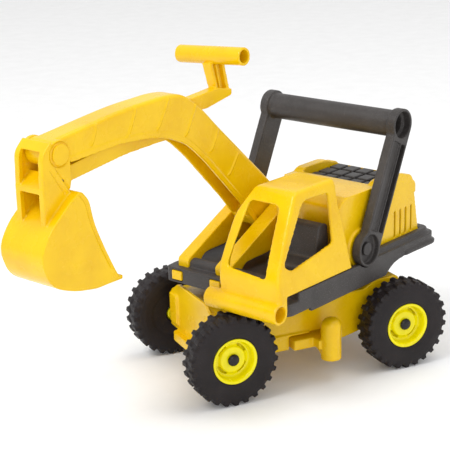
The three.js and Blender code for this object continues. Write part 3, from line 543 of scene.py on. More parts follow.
def rim_shape():
    hub_end = TYRE_INNER_Y + 0.4
    inner = TYRE_INNER_Y + 3.5
    outer = TYRE_OUTER_Y - 1.0
    face = HUB_FACE_Y
    disc = turned([
        (2.8, face), (2.8, hub_end), (6, hub_end), (6, face - 7.4), (13, face - 7.4),
        (13.2, inner), (15, inner), (15, outer - 2.8),
        (16.6, outer - 1.4), (RIM_RADIUS, outer - 0.5), (RIM_RADIUS - 0.5, outer),
        (16.0, outer), (15.2, outer - 0.5), (14.6, outer - 1.8), (14.1, face - 1.2),
        (13.2, face - 2.4), (11.2, face - 2.2), (10.3, face - 1.6), (9.8, face - 0.5),
        (9.2, face),
    ], (0, 0), 96)
    pockets = []
    for middle in (45, 135, 225, 315):
        ends = [*arc((0, 0), 12.2, middle - 25, middle + 25, 12),
                *arc((0, 0), 10.4, middle + 22, middle - 22, 10)]
        pockets.append(prism(ends, "y", face - 6, face + 3))
    return moulded(cut(disc, *pockets), 0.4, 3, 0.45)


def cap_shape():
    face = HUB_FACE_Y
    return turned([
        (0, face + 1.5), (2.6, face + 1.5), (2.6, face + 0.4), (3.9, face + 0.35),
        (4.35, face + 0.8), (4.4, face + 1.4), (4.1, face + 2.0), (3.3, face + 2.6),
        (2.2, face + 2.95), (1.1, face + 3.12), (0, face + 3.18),
    ], (0, 0), 48)


TYRE = tyre_shape()
RIM = rim_shape()
DOME = cap_shape()
for end, axle_x in (("front", FRONT_AXLE_X), ("rear", REAR_AXLE_X)):
    for side in ("left", "right"):
        corner = Matrix.Translation((axle_x, 0, AXLE_Z))
        if side == "right":
            corner = corner @ Matrix.Rotation(math.pi, 4, "Z")
        wheel = "wheel_{}_{}".format(end, side)
        where = "{}_{}".format(end, side)
        show("seen_tyre_" + where, moved(TYRE, corner), wheel, ["tyre_" + where],
             RUBBER, CHASSIS_SPACE)
        show("seen_rim_" + where, moved(RIM, corner), wheel, ["rim_" + where],
             LEMON, CHASSIS_SPACE)
        show("seen_axle_cap_" + where, moved(DOME, corner), "chassis", ["axle_cap_" + where],
             CAP, CHASSIS_SPACE)

# ------------------------------------------------------------------ chassis


def both_sides(low, high):
    return [(low, high), (-high, -low)]


def chassis_shape():
    half, front, rear = CHASSIS_HALF, CHASSIS_FRONT_X, CHASSIS_REAR_X
    top, rear_top = CHASSIS_TOP_Z, CHASSIS_REAR_TOP_Z
    side = outline([(front, 26, 3), (front, top, 2), (-40, top), (-50, rear_top, 3),
                    (rear, rear_top, 4), (rear, 26, 6), (-40, 26), (-22, 22), (62, 22)])
    hollow = [(front - WALL, -1), (front - WALL, top - WALL), (-40, top - WALL),
              (-50, rear_top - WALL), (rear + WALL, rear_top - WALL), (rear + WALL, -1)]
    shell = cut(prism(side, "y", -half, half), prism(hollow, "y", -half + WALL, half - WALL))
    front_plate = outline([(-39, 31, 2), (-39, 56, 2), (-25, 64.8, 3), (25, 64.8, 3),
                           (39, 56, 2), (39, 31, 2), (26, 25, 3), (-26, 25, 3)])
    bumper = outline([(76, -27, 2), (91.5, -28, 5), (91.5, 28, 5), (76, 27, 2)])
    parts = []
    for low, high in both_sides(half - 1, half + 2):
        parts.append(block((8, 60), (low, high), (22, 34)))
    for low, high in both_sides(half - 12.5, half + 1):
        parts.append(block((front - 1, front + 1.8), (low, high), (31, 54.5)))
    parts.append(prism(front_plate, "x", front - WALL, front))
    parts.append(prism(bumper, "z", 19.8, 27))
    for x in (FRONT_AXLE_X, REAR_AXLE_X):
        for low, high in both_sides(half - 7, half + 5):
            parts.append(block((x - 5.2, x + 5.2), (low, high), (26, 40)))
    parts.append(bar(TURNTABLE_RADIUS, (0, 0), top - 1, 65.6, "z", 96))
    whole = join(shell, *parts)
    holes = [bar(AXLE_RADIUS + 0.4, (x, AXLE_Z), -50, 50) for x in (FRONT_AXLE_X, REAR_AXLE_X)]
    holes.append(block((rear - 1, rear + 5), (-9, 9), (38, 46)))
    holes.append(block((-9.3, 9.3), (-60, 60), (10, 32.3)))
    for low, high in both_sides(30, 60):
        holes.append(block((8, 25.3), (low, high), (10, 32.3)))
    holes.append(bar(TURNTABLE_RADIUS - WALL, (0, 0), 61, 70, "z", 96))
    king_boss = bar(KING_BOSS_RADIUS, (0, 0), 40, 79, "z", 64)
    return moulded(join(cut(whole, *holes), king_boss), 0.75, 4, 0.35)


def post_shape(side):
    """The outer part of a round post with a domed top, at one end of the beam."""
    base = POST_TOP_Z - DOME_HEIGHT
    dome = [(POST_RADIUS * math.cos(a), base + DOME_HEIGHT * math.sin(a))
            for a in (0.2, 0.45, 0.7, 0.95, 1.2, 1.4)]
    post = turned([(0, POST_BOTTOM_Z), (POST_RADIUS, POST_BOTTOM_Z), (POST_RADIUS, base), *dome,
                   (0, POST_TOP_Z)], (0, 0), 64)
    post.transform(Matrix.Translation((POST_X, side * POST_Y, 0)) @ UPRIGHT)
    trim = (-80, POST_Y - 3) if side > 0 else (3 - POST_Y, 80)
    return cut(post, block((-20, 20), trim, (0, 60)))


def stabiliser_shape():
    parts = []
    for side in (1, -1):
        wide = side * (POST_Y - 1)
        gusset = [(side * 36, 24), (wide, POST_BOTTOM_Z), (wide, 31), (side * 36, 31)]
        foot = (34, 46) if side > 0 else (-46, -34)
        parts.append(post_shape(side))
        parts.append(prism(gusset, "x", -7, 4))
        parts.append(block((2, 24), foot, (23, 31)))
    return moulded(join(block((-8, 8), (-POST_Y, POST_Y), (24, 31)), *parts), 0.6, 4, 0.4)


show("seen_chassis", chassis_shape(), "chassis", ["chassis"], YELLOW,
     CHASSIS_SPACE)
show("seen_stabiliser_beam", stabiliser_shape(), "chassis", ["stabiliser_beam"], YELLOW,
     CHASSIS_SPACE)

# ------------------------------------------------------------------ deck


def deck_plan(inset, radius):
    """The deck's plan behind the tongue, inset by a margin, with round rear corners."""
    front, rear, half = DECK_FRONT_X, DECK_REAR_X + inset, DECK_HALF - inset
    return outline([(front - inset, -half, 2), (front - inset, half, 2), (rear, half, radius),
                    (rear, -half, radius)])


def deck_tray():
    half, front, tongue, rear = DECK_HALF, DECK_FRONT_X, DECK_TONGUE_X, DECK_REAR_X
    plan = outline([(front, 2 - half, 4), (front, 8), (tongue, 8), (tongue, half, 6),
                    (rear, half, 12), (rear, -half, 12), (40, -half, 6)])
    above = outline([(tongue + 5, 4 - half), (tongue + 5, half - 4), (rear + 4, half - 4, 9),
                     (rear + 4, 4 - half, 9)])
    rear_cut = outline([(rear - 5, REAR_SKIRT_Z), (-54, REAR_SKIRT_Z, 10), (-42, 74, 7),
                        (-33, SKIRT_Z, 7), (-26, 60), (rear - 5, 60)])
    return cut(prism(plan, "z", SKIRT_Z, RAIL_TOP_Z),
               prism(deck_plan(DECK_SKIN, 9), "z", SKIRT_Z - 1, DECK_UNDER_Z),
               prism(above, "z", DECK_TOP_Z, RAIL_TOP_Z + 1),
               block((50, front + 5), (-half - 1, 0), (DECK_TOP_Z, 100)),
               block((60, tongue + 5), (-half - 5, half + 5), (60, 70.6)),
               block((front - 4, tongue + 5), (-2, half + 5), (79.5, 100)),
               prism(rear_cut, "y", -half - 5, half + 5))


def deck_rear_rim():
    """The raised rim round the foot of the engine housing."""
    front, rear = -24.5, DECK_REAR_X + 2
    half = DECK_HALF - 1.5
    low = outline([(front, half), (rear, half, 11), (rear, -half, 11), (front, -half)])
    high = outline([(front, half - 2), (rear + 2, half - 2, 10), (rear + 2, 2 - half, 10),
                    (front, 2 - half)])
    return cut(prism(low, "z", 81, REAR_RIM_Z, high),
               block((HOUSING_REAR_X - 0.3, 0), (SIDE_BOX_Y - 0.3, HOUSING_LEFT_Y + 0.3),
                     (80, REAR_RIM_Z + 1)))


def deck_shape():
    rear, half = DECK_REAR_X - 1.6, DECK_HALF + 1.6
    lip = outline([(-60, half - 0.6), (rear, half, 12), (rear, -half, 12), (-60, 0.6 - half)])
    ridge = outline([(59, 81), (70, 81), (69.5, 86, 2), (65, 88.5, 3), (60, 86, 2)])
    body = join(deck_tray(),
                prism(ridge, "y", CHEEK_RIGHT[0] + 0.3, CHEEK_LEFT[0] - 0.3),
                prism(ridge, "y", CHEEK_LEFT[1] + 0.3, 50),
                bar(KING_BOSS_RADIUS + 4, (0, 0), 66.2, 81, "z", 64),
                cut(prism(lip, "z", REAR_SKIRT_Z, REAR_SKIRT_Z + 3),
                    prism(deck_plan(DECK_SKIN, 9), "z", 70, DECK_UNDER_Z)),
                deck_rear_rim())
    holes = [bar(KING_BOSS_RADIUS + 0.3, (0, 0), 60, 90, "z", 64)]
    for y in LEG_CENTRES:
        room = (y - LEG_HALF - 0.4, y + LEG_HALF + 0.4)
        holes.append(block((60, DECK_FRONT_X + 5), room, (72.4, 80.4)))
        holes.append(block((62.6, 71.4), room, (72, 95)))
    for low, high in both_sides(52, 70):
        holes.append(bar(HANDLE_PIVOT_RADIUS + 0.6, HANDLE_PIVOT, low, high))
    return moulded(cut(body, *holes), 0.7, 3, 0.35)


show("seen_deck", deck_shape(), "upper", ["deck"], GREY)

# ------------------------------------------------------------------ cab

DECK_ROOM = ((-20, DECK_TONGUE_X + 0.3), (-10, 70), (50, 86))


def cab_block(inset):
    """The cab's outer form, or with an inset the room inside it."""
    rear = CAB_REAR_X - 20
    roof, foot, nose = CAB_ROOF_Z - inset, 66 - inset, 95 - inset
    left = 62.2 - inset
    front_view = outline([(9 + inset, foot), (5.5 + inset, 108), (5.5 + inset, 134, 6),
                          (15 + inset * 0.6, roof, 3), (51 - inset, roof, 3), (left, 84),
                          (left, foot)])
    side_view = outline([(rear, foot), (nose, foot), (nose, 98, 8), (80 - inset, 125, 14),
                         (62 - inset * 0.8, roof, 4), (rear, roof)])
    plan = outline([(rear, 4 + inset), (97 - inset, 4 + inset, 9), (97 - inset, 64 - inset, 11),
                    (rear, 64 - inset)])
    return common(prism(front_view, "x", rear - inset * 2, 100),
                  prism(side_view, "y", -5, 70),
                  prism(plan, "z", 60, 160))


def cab_shape():
    outer = moulded(cab_block(0), 1.0, 9, 1)
    lower = cut(outer, block((-20, 100), (-10, 70), (50, 75)), block(*DECK_ROOM))
    behind = block((-20, CAB_REAR_X), (-10, HOUSING_LEFT_Y + 0.3), (60, 160))
    pillar_slope = [(-20, 60), (10, 60), (10, 86), (CAB_REAR_X + 1.5, CAB_ROOF_Z + 5),
                    (-20, 170)]
    shell = cut(lower, cab_block(WALL), behind, prism(pillar_slope, "y", -10, 80))
    front_window = outline([(12.5, 100.5, 4), (48.5, 97.5, 4), (41.5, 143.5, 4),
                            (14.5, 143.8, 4)])
    side_window = outline([(77.5, 101.5, 5), (85, 107, 3), (55, 146, 6), (25.5, 145.3, 3),
                           (28, 109, 3)])
    right_side = outline([(CAB_REAR_X + 4, 60), (84, 60), (84, 100, 3), (60, 143, 5),
                          (CAB_REAR_X + 4, 143, 3)])
    glazed = cut(shell,
                 prism(front_window, "x", 60, 110),
                 prism(side_window, "y", 40, 70),
                 prism(right_side, "y", -5, 12))
    tube = bar(TUBE_RADIUS, TUBE, -2.5, 62.3, "y", 96)
    bore = bar(TUBE_RADIUS - 2, TUBE, 48, 67, "y", 96)
    return moulded(cut(join(glazed, tube), bore, block(*DECK_ROOM)), 0.7, 4, 0.4)


def seat_shape():
    side = outline([(20, BASE_Z), (54, BASE_Z), (54, 96, 3), (37, 97, 3), (33, 121, 3),
                    (22, 121, 3)])
    return moulded(prism(side, "y", 17, 49), 0.8, 6, 0.4)


show("seen_cab", cab_shape(), "upper", ["cab"], YELLOW)
show("seen_seat", seat_shape(), "upper", ["seat"], GREY)

# ------------------------------------------------------------------ engine housing


def housing_shape():
    front, rear, top = HOUSING_FRONT_X, HOUSING_REAR_X, HOUSING_TOP_Z
    left, right = HOUSING_LEFT_Y, HOUSING_RIGHT_Y
    box_front, box_top = -26, 110
    side = outline([(front, BASE_Z), (front, 130.5, 2), (8, top, 4), (-81, top, 8),
                    (rear, BASE_Z)])
    rail = outline([(-28, 134), (-36, HOUSING_RAIL_Z, 4), (-68, HOUSING_RAIL_Z, 8),
                    (-86, 128, 5), (-86, 120), (-28, 120)])
    side_box = outline([(box_front, BASE_Z), (box_front, box_top, 6), (-89, box_top, 6),
                        (rear, BASE_Z)])
    outer = join(prism(side, "y", right, left),
                 prism(rail, "y", left - 8, left),
                 prism(rail, "y", right, right + 8),
                 prism(side_box, "y", SIDE_BOX_Y, right + 1),
                 bar(HANDLE_PIVOT_RADIUS + 1.4, HANDLE_PIVOT, left - 1, left + 1.6, "y", 96))
    ceiling = COVER_BED_Z - WALL
    tools = [block((-40, 20), (-70, 70), (60, BASE_Z)),
             block((-82, -22.4), (right + WALL, left - WALL), (BASE_Z - 5, ceiling)),
             block((-25, front - WALL), (-1, left - WALL), (BASE_Z - 5, ceiling)),
             block((-86, box_front - WALL), (SIDE_BOX_Y + WALL, right - WALL),
                   (BASE_Z - 5, box_top - WALL)),
             block((COVER_REAR_X - 0.3, COVER_FRONT_X + 0.3), (right + 8, left - 8),
                   (COVER_BED_Z, 150)),
             bar(3.3, HANDLE_PIVOT, left - 6, left + 4),
             block((-20, 20), (right - 5, -3.4), (60, 160)),
             bar(WASHER_RADIUS + 0.6, (0, 0), BASE_Z - 1, 88, "z", 64)]
    for i in range(4):
        x = LOUVRE_FRONT_X - i * LOUVRE_PITCH
        tools.append(block((x - 1, x + 1), (left - 4, left + 2), (89.5, 111)))
    return moulded(cut(outer, *tools), 0.7, 4, 0.35)


def cover_shape():
    left, right = HOUSING_LEFT_Y - 8.3, HOUSING_RIGHT_Y + 8.3
    columns, rows = 5, 3
    pitch_x = (COVER_FRONT_X - COVER_REAR_X) / rows
    pitch_y = (left - right) / columns
    half_x, half_y = pitch_x / 2 - 0.8, pitch_y / 2 - 0.6
    taper = 0.88
    bed = block((COVER_REAR_X, COVER_FRONT_X), (right, left), (COVER_BED_Z + 0.3, 130))
    blocks = []
    for column in range(columns):
        for row in range(rows):
            x = COVER_REAR_X + (row + 0.5) * pitch_x
            y = right + (column + 0.5) * pitch_y
            foot = [(x - half_x, y - half_y), (x + half_x, y - half_y),
                    (x + half_x, y + half_y), (x - half_x, y + half_y)]
            top = [(x + (a - x) * taper, y + (b - y) * taper) for a, b in foot]
            blocks.append(prism(foot, "z", 129, 134, top))
    return moulded(join(bed, *blocks), 0.55, 5, 0.4)


show("seen_engine_housing", housing_shape(), "upper", ["engine_housing"], YELLOW)
show("seen_engine_cover", cover_shape(), "upper", ["engine_cover"], GREY)

# ------------------------------------------------------------------ boom bracket


def bracket_shape():
    cheek = outline([(71, BASE_Z), (71, 88, 2), *arc(BOOM_PIVOT, 11, 62, 200, 28), (-16, 96),
                     (-16, BASE_Z), (2, BASE_Z), (12, 90, 4), (52, 88.5, 4), (58, BASE_Z)])
    parts = [prism(cheek, "y", *CHEEK_RIGHT),
             bar(10, BOOM_PIVOT, -55, -40.1, "y", 64),
             block((-16, 2), (CHEEK_RIGHT[0], CHEEK_LEFT[1]), (BASE_Z, BASE_Z + 3)),
             bar(9, HANDLE_PIVOT, -55.2, -53.5)]
    for y in LEG_CENTRES:
        leg = (y - LEG_HALF, y + LEG_HALF)
        parts.append(block((63, 71), leg, (73, BASE_Z + 1)))
        parts.append(block((70, 78.8), leg, (73, 80)))
    whole = join(prism(cheek, "y", *CHEEK_LEFT), *parts)
    whole = cut(whole, bar(4.3, BOOM_PIVOT, -70, 10), bar(3.3, HANDLE_PIVOT, -58, -48),
                bar(WASHER_RADIUS + 0.6, (0, 0), BASE_Z - 1, 88, "z", 64))
    return moulded(whole, 0.6, 5, 0.4)


show("seen_boom_bracket", bracket_shape(), "upper", ["boom_bracket"], YELLOW)

# ------------------------------------------------------------------ carry handle

HANDLE_LENGTH = math.hypot(HANDLE_PIVOT[0] - HANDLE_TOP[0], HANDLE_PIVOT[1] - HANDLE_TOP[1])
HANDLE_DOWN = Vector((HANDLE_PIVOT[0] - HANDLE_TOP[0],
                      HANDLE_PIVOT[1] - HANDLE_TOP[1])) / HANDLE_LENGTH
HANDLE_FRONT = Vector((-HANDLE_DOWN.y, HANDLE_DOWN.x))


def on_arm(along, across):
    """A point on the handle arm, down from the grip and forwards of the middle line."""
    return tuple(Vector(HANDLE_TOP) + HANDLE_DOWN * along + HANDLE_FRONT * across)


def span(a, b):
    """Two values with the lower one first."""
    return min(a, b), max(a, b)


def handle_shape():
    low_end = HANDLE_LENGTH
    parts = []
    tools = []
    for inner, outer, out in ((57, 64.5, 1), (-55.5, -62.6, -1)):
        arm = span(inner, outer)
        blade = [on_arm(0, 8), on_arm(low_end, 8), on_arm(low_end, -12), on_arm(0, -12)]
        parts.append(prism(blade, "y", *arm))
        parts.append(bar(HANDLE_TOP_RADIUS, HANDLE_TOP, *arm, "y", 72))
        parts.append(bar(HANDLE_PIVOT_RADIUS, HANDLE_PIVOT, *arm, "y", 72))
        web = [on_arm(13.5, 5.6), on_arm(low_end - 14, 5.6), on_arm(low_end - 14, -4),
               on_arm(13.5, -4)]
        pocket = [on_arm(13.5, -5.0), on_arm(low_end - 14.5, -5.0),
                  on_arm(low_end - 14.5, -10.6), on_arm(13.5, -10.6)]
        tools.append(prism(web, "y", *span(outer - out * 2, outer + out * 3)))
        tools.append(prism(pocket, "y", *span(inner + out * 2, outer + out * 3)))
        tools.append(bar(GRIP_RADIUS, HANDLE_TOP, *span(inner + out, outer + out * 9), "y", 72))
        tools.append(bar(11.2, HANDLE_PIVOT, *span(inner + out * 3, outer + out * 9), "y", 72))
        tools.append(bar(3.3, HANDLE_PIVOT, *span(inner - out * 4, outer + out * 9)))
    grip = bar(GRIP_RADIUS, HANDLE_TOP, -56.5, 58, "y", 96)
    whole = cut(join(grip, *parts), bar(7.8, HANDLE_TOP, -70, 70, "y", 96), *tools)
    return moulded(whole, 0.6, 3, 0.45)


def handle_pin_shape(side):
    out, root, inner = (1, 49.5, 57) if side == "left" else (-1, -49.5, -55.5)
    head = inner + out * 3.3

    def stud(radius, a, b):
        return bar(radius, HANDLE_PIVOT, *span(a, b), "y", 64)

    return moulded(join(stud(3, root, head + out), stud(5, head, head + out * 2)), 0.4, 3, 0.5)


show("seen_carry_handle", handle_shape(), "carry_handle", ["carry_handle"], GREY)
for side in ("left", "right"):
    show("seen_handle_pin_" + side, handle_pin_shape(side), "upper", ["handle_pin_" + side],
         GREY)

# ------------------------------------------------------------------ boom

PANEL_LINES = [((180, 216.5), (185, 204)), ((143, 219.5), (152, 202)), ((111, 220.5), (122, 202)),
               ((83, 211.5), (94, 192)), ((60, 189.5), (68, 175)), ((39, 167), (49, 153))]


def bevelled(mesh, width, segments=5, degrees=50):
    thing = in_scene(mesh)
    step = thing.modifiers.new("bevel", "BEVEL")
    step.width = width
    step.segments = segments
    step.limit_method = "ANGLE"
    step.angle_limit = math.radians(degrees)
    step.use_clamp_overlap = True
    return applied(thing)


def boom_shape():
    y0, y1 = BOOM_Y - BOOM_HALF, BOOM_Y + BOOM_HALF
    side = outline([*arc(BUCKET_PIVOT, 9, -60, 90, 24), (178, 218.5, 12), (152, 221.5, 12),
                    (112, 223.2, 12), (95, 221, 10), (77, 208.5, 10), (60, 191.8, 5),
                    (6, 141.8, 5), *arc(BOOM_PIVOT, 15, 150, 290, 28), (37, 128, 12),
                    (77, 170, 12), (94, 185, 10), (114, 193.5, 10), (132, 197, 10),
                    (160, 198.8, 10), (205, 196, 2)])
    cavity = outline([(205, 180), (205, 212), (178, 216), (152, 219), (112, 220.6, 7),
                      (96, 218.5, 7), (79, 206.5, 8), (62, 190), (9, 141), (20, 118),
                      (46, 100), (100, 170), (140, 180)])
    solid = bevelled(prism(side, "y", y0 + 0.45, y1 - 0.45), 2.6)
    band_low = [(205, 196), (160, 198.8), (132, 197), (114, 193.5), (94, 185), (77, 170),
                (37, 128), (18, 105)]
    band_high = [(18 - 3, 105 + 2.6), (37 - 3, 128 + 2.4), (77 - 2.8, 170 + 2.6),
                 (94 - 2.2, 185 + 3.2), (114 - 1.2, 193.5 + 3.6), (132, 197 + 3.8),
                 (160, 198.8 + 3.8), (205, 196 + 3.8)]
    band = prism(outline([(a, b, 8) for a, b in band_low + band_high]), "y", y0, y1)
    slot = prism(outline([(97, 240), (97, 208), (80, 195), (42, 161), (28, 176), (60, 240)]),
                 "y", BOOM_Y - 6.5, BOOM_Y + 5.2)
    tip = bar(9, BUCKET_PIVOT, y0, y1, "y", 72)
    lines = []
    for top, foot in PANEL_LINES:
        run = Vector(foot) - Vector(top)
        turn = Vector((run.y, -run.x)).normalized()
        path = [Vector(top) + run * t + turn * (1.6 * t * (1 - t)) for t in
                (0, 0.2, 0.4, 0.6, 0.8, 0.93)]
        path.append(Vector(foot) + Vector((2.0, -0.6)))
        for y in (y0 + 0.4, y1 - 0.4):
            lines.append(hose([(p.x, y, p.y) for p in path], 0.8))
    whole = join(solid, band, tip, *lines)
    whole = cut(whole, prism(cavity, "y", y0 + 2.4, y1 - 2.4), slot,
                bar(3.3, BUCKET_PIVOT, y0 - 5, y1 + 5), bar(2.8, LEVER_PIVOT, y0 + 1, y1 - 1),
                bar(4.3, BOOM_PIVOT, y0 - 5, y1 + 5))
    return moulded(whole, 0.5, 2, 0.35)


show("seen_boom", boom_shape(), "boom", ["boom"], YELLOW)

# ------------------------------------------------------------------ hand lever and push rod


def lever_shape():
    arm = outline([(37.5, 214), (37.5, 209.5, 2), (67, 204, 3), (92, 204),
                   *arc(ROD_REAR, 4.2, 170, 320, 12), *arc(LEVER_PIVOT, 6, -40, 110, 16),
                   (80, 214.5), (53, 217)])
    blade = prism(arm, "y", BOOM_Y - 4, BOOM_Y + 4)
    for low, high in ((-10, -2), (2, 10)):
        blade = cut(blade, block((60, 120), (BOOM_Y + low, BOOM_Y + high), (180, 204.4)))
    neck = prism(outline([(57, 235), (51.5, 213), (56, 209), (37.2, 209.2, 2), (42, 235)]),
                 "y", -35, -27)
    hollow = prism([(54, 234), (50, 215.5), (41, 212.5), (44.5, 234)], "y", -31, -25)
    rib = prism([(50, 236), (46.5, 212), (44.5, 212), (48, 236)], "y", -33, -28.5)
    grip = bar(6.5, (50, 240), -61.5, -0.5, "y", 96)
    bore = bar(4.7, (50, 240), -12.5, 1.5, "y", 96)
    hand = cut(join(cut(neck, hollow), rib, grip), bore)
    tilt = (Matrix.Translation((0, -31, 210)) @ Matrix.Rotation(math.radians(3.5), 4, "X")
            @ Matrix.Translation((0, 31, -210)))
    hand.transform(tilt)
    whole = cut(join(blade, hand), bar(2.8, LEVER_PIVOT, -38, -21),
                bar(2.1, ROD_REAR, -38, -21))
    return moulded(whole, 0.45, 3, 0.45)


def rod_shape():
    side = outline([*arc(ROD_REAR, 4.2, 110, 250, 16), (112, 190.5, 6), (150, 189, 8),
                    (203.5, 182, 2), *arc(ROD_FRONT, 5, -70, 70, 16), (203.5, 192.5, 2),
                    (150, 201, 8), (112, 201, 8)])
    whole = cut(prism(side, "y", BOOM_Y - 5, BOOM_Y + 5),
                block((86.5, 106.5), (BOOM_Y - 2.4, BOOM_Y + 2.4), (180, 206)),
                bar(2.1, ROD_REAR, -38, -21), bar(2.5, ROD_FRONT, -38, -21))
    return moulded(whole, 0.5, 4, 0.45)


show("seen_hand_lever", lever_shape(), "lever", ["hand_lever"], YELLOW)
show("seen_push_rod", rod_shape(), "rod", ["push_rod"], YELLOW)

# ------------------------------------------------------------------ bucket


def bucket_shape():
    w = BUCKET_HALF
    shell_side = outline([(176, 111), (197, 110, 4), (217, 113.5, 8), (238, 122, 16),
                          (245, 143, 12), (236.5, 157.5, 8), (214, 176, 3),
                          (207, 179.5, 3), (200.5, 172, 4), (197, 155, 8),
                          (189.5, 137.5, 8), (181, 120, 4)])
    inside = outline([(160, 113.4), (196, 112.4, 4), (216, 116, 8), (235.6, 124, 14),
                      (242.2, 143, 11), (234.3, 156, 7), (212, 174.4, 2), (200, 178),
                      (180, 170)])
    shell = cut(prism(shell_side, "y", BOOM_Y - w, BOOM_Y + w),
                prism(inside, "y", BOOM_Y - w + 2.4, BOOM_Y + w - 2.4),
                block((190, 212), (BOOM_Y - 6.5, BOOM_Y + 6.5), (169, 190)))
    ear = outline([*arc(BUCKET_PIVOT, 9.4, 40, 200, 24), (208, 186, 3), (210.5, 177),
                   (214, 174.6), (231.5, 160.2), (232.5, 180), (231.5, 205, 6)])
    front = prism(outline([(229.2, 160.6), (233, 158.2), (233, 180), (232, 206, 4),
                           (224, 213.8, 1), (222.5, 212.4), (228.2, 206, 4), (229.2, 180)]),
                  "y", BOOM_Y - EAR_OUTER, BOOM_Y + EAR_OUTER)
    front = cut(front,
                block((222, 240), (BOOM_Y - 9, BOOM_Y + 9), (184.5, 208)),
                block((222, 240), (BOOM_Y - 9, BOOM_Y + 9), (150, 181)))
    shelf = outline([(233, 181), (233, 184.5), (222.5, 192.5), (221, 190.5)])
    groove = outline([(184.6, 121), (193, 138, 8), (200.6, 155.5, 8), (204, 170.5, 4),
                      (209, 176.5, 3), (208.0, 177.5, 3), (202.6, 171.2, 4),
                      (199.0, 156.2, 8), (191.5, 139, 8), (183.2, 122)])
    body = join(shell,
                prism(ear, "y", BOOM_Y + EAR_INNER, BOOM_Y + EAR_OUTER),
                prism(ear, "y", BOOM_Y - EAR_OUTER, BOOM_Y - EAR_INNER),
                front,
                prism(shelf, "y", BOOM_Y - EAR_OUTER, BOOM_Y + EAR_OUTER),
                block((174, 190), (BOOM_Y - w, BOOM_Y + w), (110.4, 113)))
    tools = []
    for s in (1, -1):
        face = BOOM_Y + s * EAR_OUTER
        low, high = span(face - s * 1.0, face + s * 2)
        ring = cut(bar(8.5, BUCKET_PIVOT, low, high, "y", 64),
                   bar(7.0, BUCKET_PIVOT, low - 1, high + 1, "y", 64))
        tools.append(ring)
        wall = BOOM_Y + s * w
        tools.append(prism(groove, "y", *sorted((wall - s * 0.9, wall + s))))
        for across in (-2.6, 2.6):
            strap = [(223.2 + across - 0.75, 196), (223.2 + across + 0.75, 196),
                     (211.8 + across + 0.75, 177.8), (211.8 + across - 0.75, 177.8)]
            tools.append(prism(strap, "y", low, high))
    tools.append(bar(3.3, BUCKET_PIVOT, -60, 0))
    tools.append(bar(2.5, ROD_FRONT, BOOM_Y - EAR_OUTER + 1.2, BOOM_Y + EAR_OUTER - 1.2))
    return moulded(cut(body, *tools), 0.5, 3, 0.4)


def bucket_pin_shape():
    reach = EAR_OUTER + 1
    parts = [bar(7, BUCKET_PIVOT, BOOM_Y + EAR_OUTER + 0.3, BOOM_Y + EAR_OUTER + 1.4, "y", 72),
             bar(7, BUCKET_PIVOT, BOOM_Y - EAR_OUTER - 1.4, BOOM_Y - EAR_OUTER - 0.3, "y", 72)]
    return moulded(join(bar(3, BUCKET_PIVOT, BOOM_Y - reach, BOOM_Y + reach), *parts),
                   0.4, 2, 0.5)


show("seen_bucket", bucket_shape(), "bucket", ["bucket"], YELLOW)
show("seen_bucket_pin", bucket_pin_shape(), "bucket", ["bucket_pin"], YELLOW)

# ------------------------------------------------------------------ small metal pieces


def pin_shape(radius, centre, low, high):
    return bevelled(bar(radius, centre, low, high, "y", 48), 0.25, 2)


for end, axle_x in (("front", FRONT_AXLE_X), ("rear", REAR_AXLE_X)):
    axle = pin_shape(AXLE_RADIUS, (axle_x, AXLE_Z), -AXLE_HALF_LENGTH, AXLE_HALF_LENGTH)
    show("seen_{}_axle".format(end), axle, "chassis", [end + "_axle"], STEEL,
         CHASSIS_SPACE)
show("seen_boom_pin", pin_shape(4, BOOM_PIVOT, -54.2, -4.3), "upper", ["boom_pin"], STEEL)
show("seen_lever_pin", pin_shape(2.5, LEVER_PIVOT, -38.3, -20.7), "boom", ["lever_pin"], STEEL)
show("seen_rod_pin_rear", pin_shape(1.8, ROD_REAR, -34.9, -24.1), "lever", ["rod_pin_rear"],
     STEEL)
show("seen_rod_pin_front", pin_shape(2.2, ROD_FRONT, -41.3, -17.7), "bucket",
     ["rod_pin_front"], STEEL)
washer = cut(bar(WASHER_RADIUS, (0, 0), BASE_Z, BASE_Z + 1.5, "z", 72),
             bar(2.1, (0, 0), 70, 90, "z", 32))
show("seen_slew_washer", bevelled(washer, 0.2, 2), "chassis", ["slew_washer"], STEEL,
     CHASSIS_SPACE)
screw = join(bar(4.2, (0, 0), 84.1, 87, "z", 48), bar(1.3, (0, 0), 58, 85, "z", 24))
cross = [block((-2.2, 2.2), (-0.5, 0.5), (85.4, 90)), block((-0.5, 0.5), (-2.2, 2.2), (85.4, 90))]
show("seen_slew_screw", bevelled(cut(screw, *cross), 0.15, 2), "chassis", ["slew_screw"], STEEL,
     CHASSIS_SPACE)

# ------------------------------------------------------------------ floor, light and camera

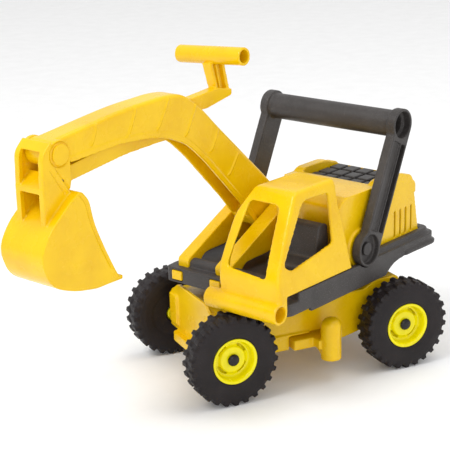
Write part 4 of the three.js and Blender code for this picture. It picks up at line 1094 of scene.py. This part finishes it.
floor = in_scene(prism([(-4, -4), (4, -4), (4, 4), (-4, 4)], "z", -0.02, 0), "floor")
floor.data.materials.append(FLOOR)


def lamp(name, place, size, power, aim=(0, 0, 0.1)):
    data = bpy.data.lights.new(name, "AREA")
    data.shape = "DISK"
    data.size = size
    data.energy = power
    thing = bpy.data.objects.new(name, data)
    bpy.context.scene.collection.objects.link(thing)
    thing.location = place
    thing.rotation_euler = (Vector(place) - Vector(aim)).to_track_quat("Z", "Y").to_euler()


lamp("key", (1.1, 0.2, 1.6), 0.7, 12)
lamp("left_fill", (0.3, 1.7, 0.7), 1.0, 4)
lamp("top", (-0.5, 0.2, 1.9), 1.2, 8)

world = bpy.data.worlds.new("studio")
world.use_nodes = True
sky = world.node_tree.nodes["Background"]
sky.inputs["Color"].default_value = (1, 1, 1, 1)
sky.inputs["Strength"].default_value = 0.8
bpy.context.scene.world = world
bpy.context.scene.view_settings.view_transform = "Standard"

AZIMUTH = math.radians(65.546)
ELEVATION = math.radians(17.516)
ROLL = math.radians(-1.682)
DISTANCE = 1064.062
AIM = (-9.64, 0, 60)
SHIFT_RIGHT = -60.473
SHIFT_UP = 43.070
FOCAL_LENGTH = 110.29


def look():
    back = Vector((math.cos(ELEVATION) * math.cos(AZIMUTH),
                   math.cos(ELEVATION) * math.sin(AZIMUTH), math.sin(ELEVATION)))
    right = (-back).cross(Vector((0, 0, 1))).normalized()
    up = right.cross(-back)
    place = Vector(AIM) + right * SHIFT_RIGHT + up * SHIFT_UP + back * DISTANCE
    turned_right = right * math.cos(ROLL) + up * math.sin(ROLL)
    turned_up = up * math.cos(ROLL) - right * math.sin(ROLL)
    matrix = Matrix((turned_right, turned_up, back)).transposed().to_4x4()
    matrix.translation = SLEW + place / 1000
    data = bpy.data.cameras.new("camera")
    data.lens = FOCAL_LENGTH
    data.sensor_width = 36
    data.clip_end = 20
    thing = bpy.data.objects.new("camera", data)
    thing.matrix_world = matrix
    bpy.context.scene.collection.objects.link(thing)
    bpy.context.scene.camera = thing


look()
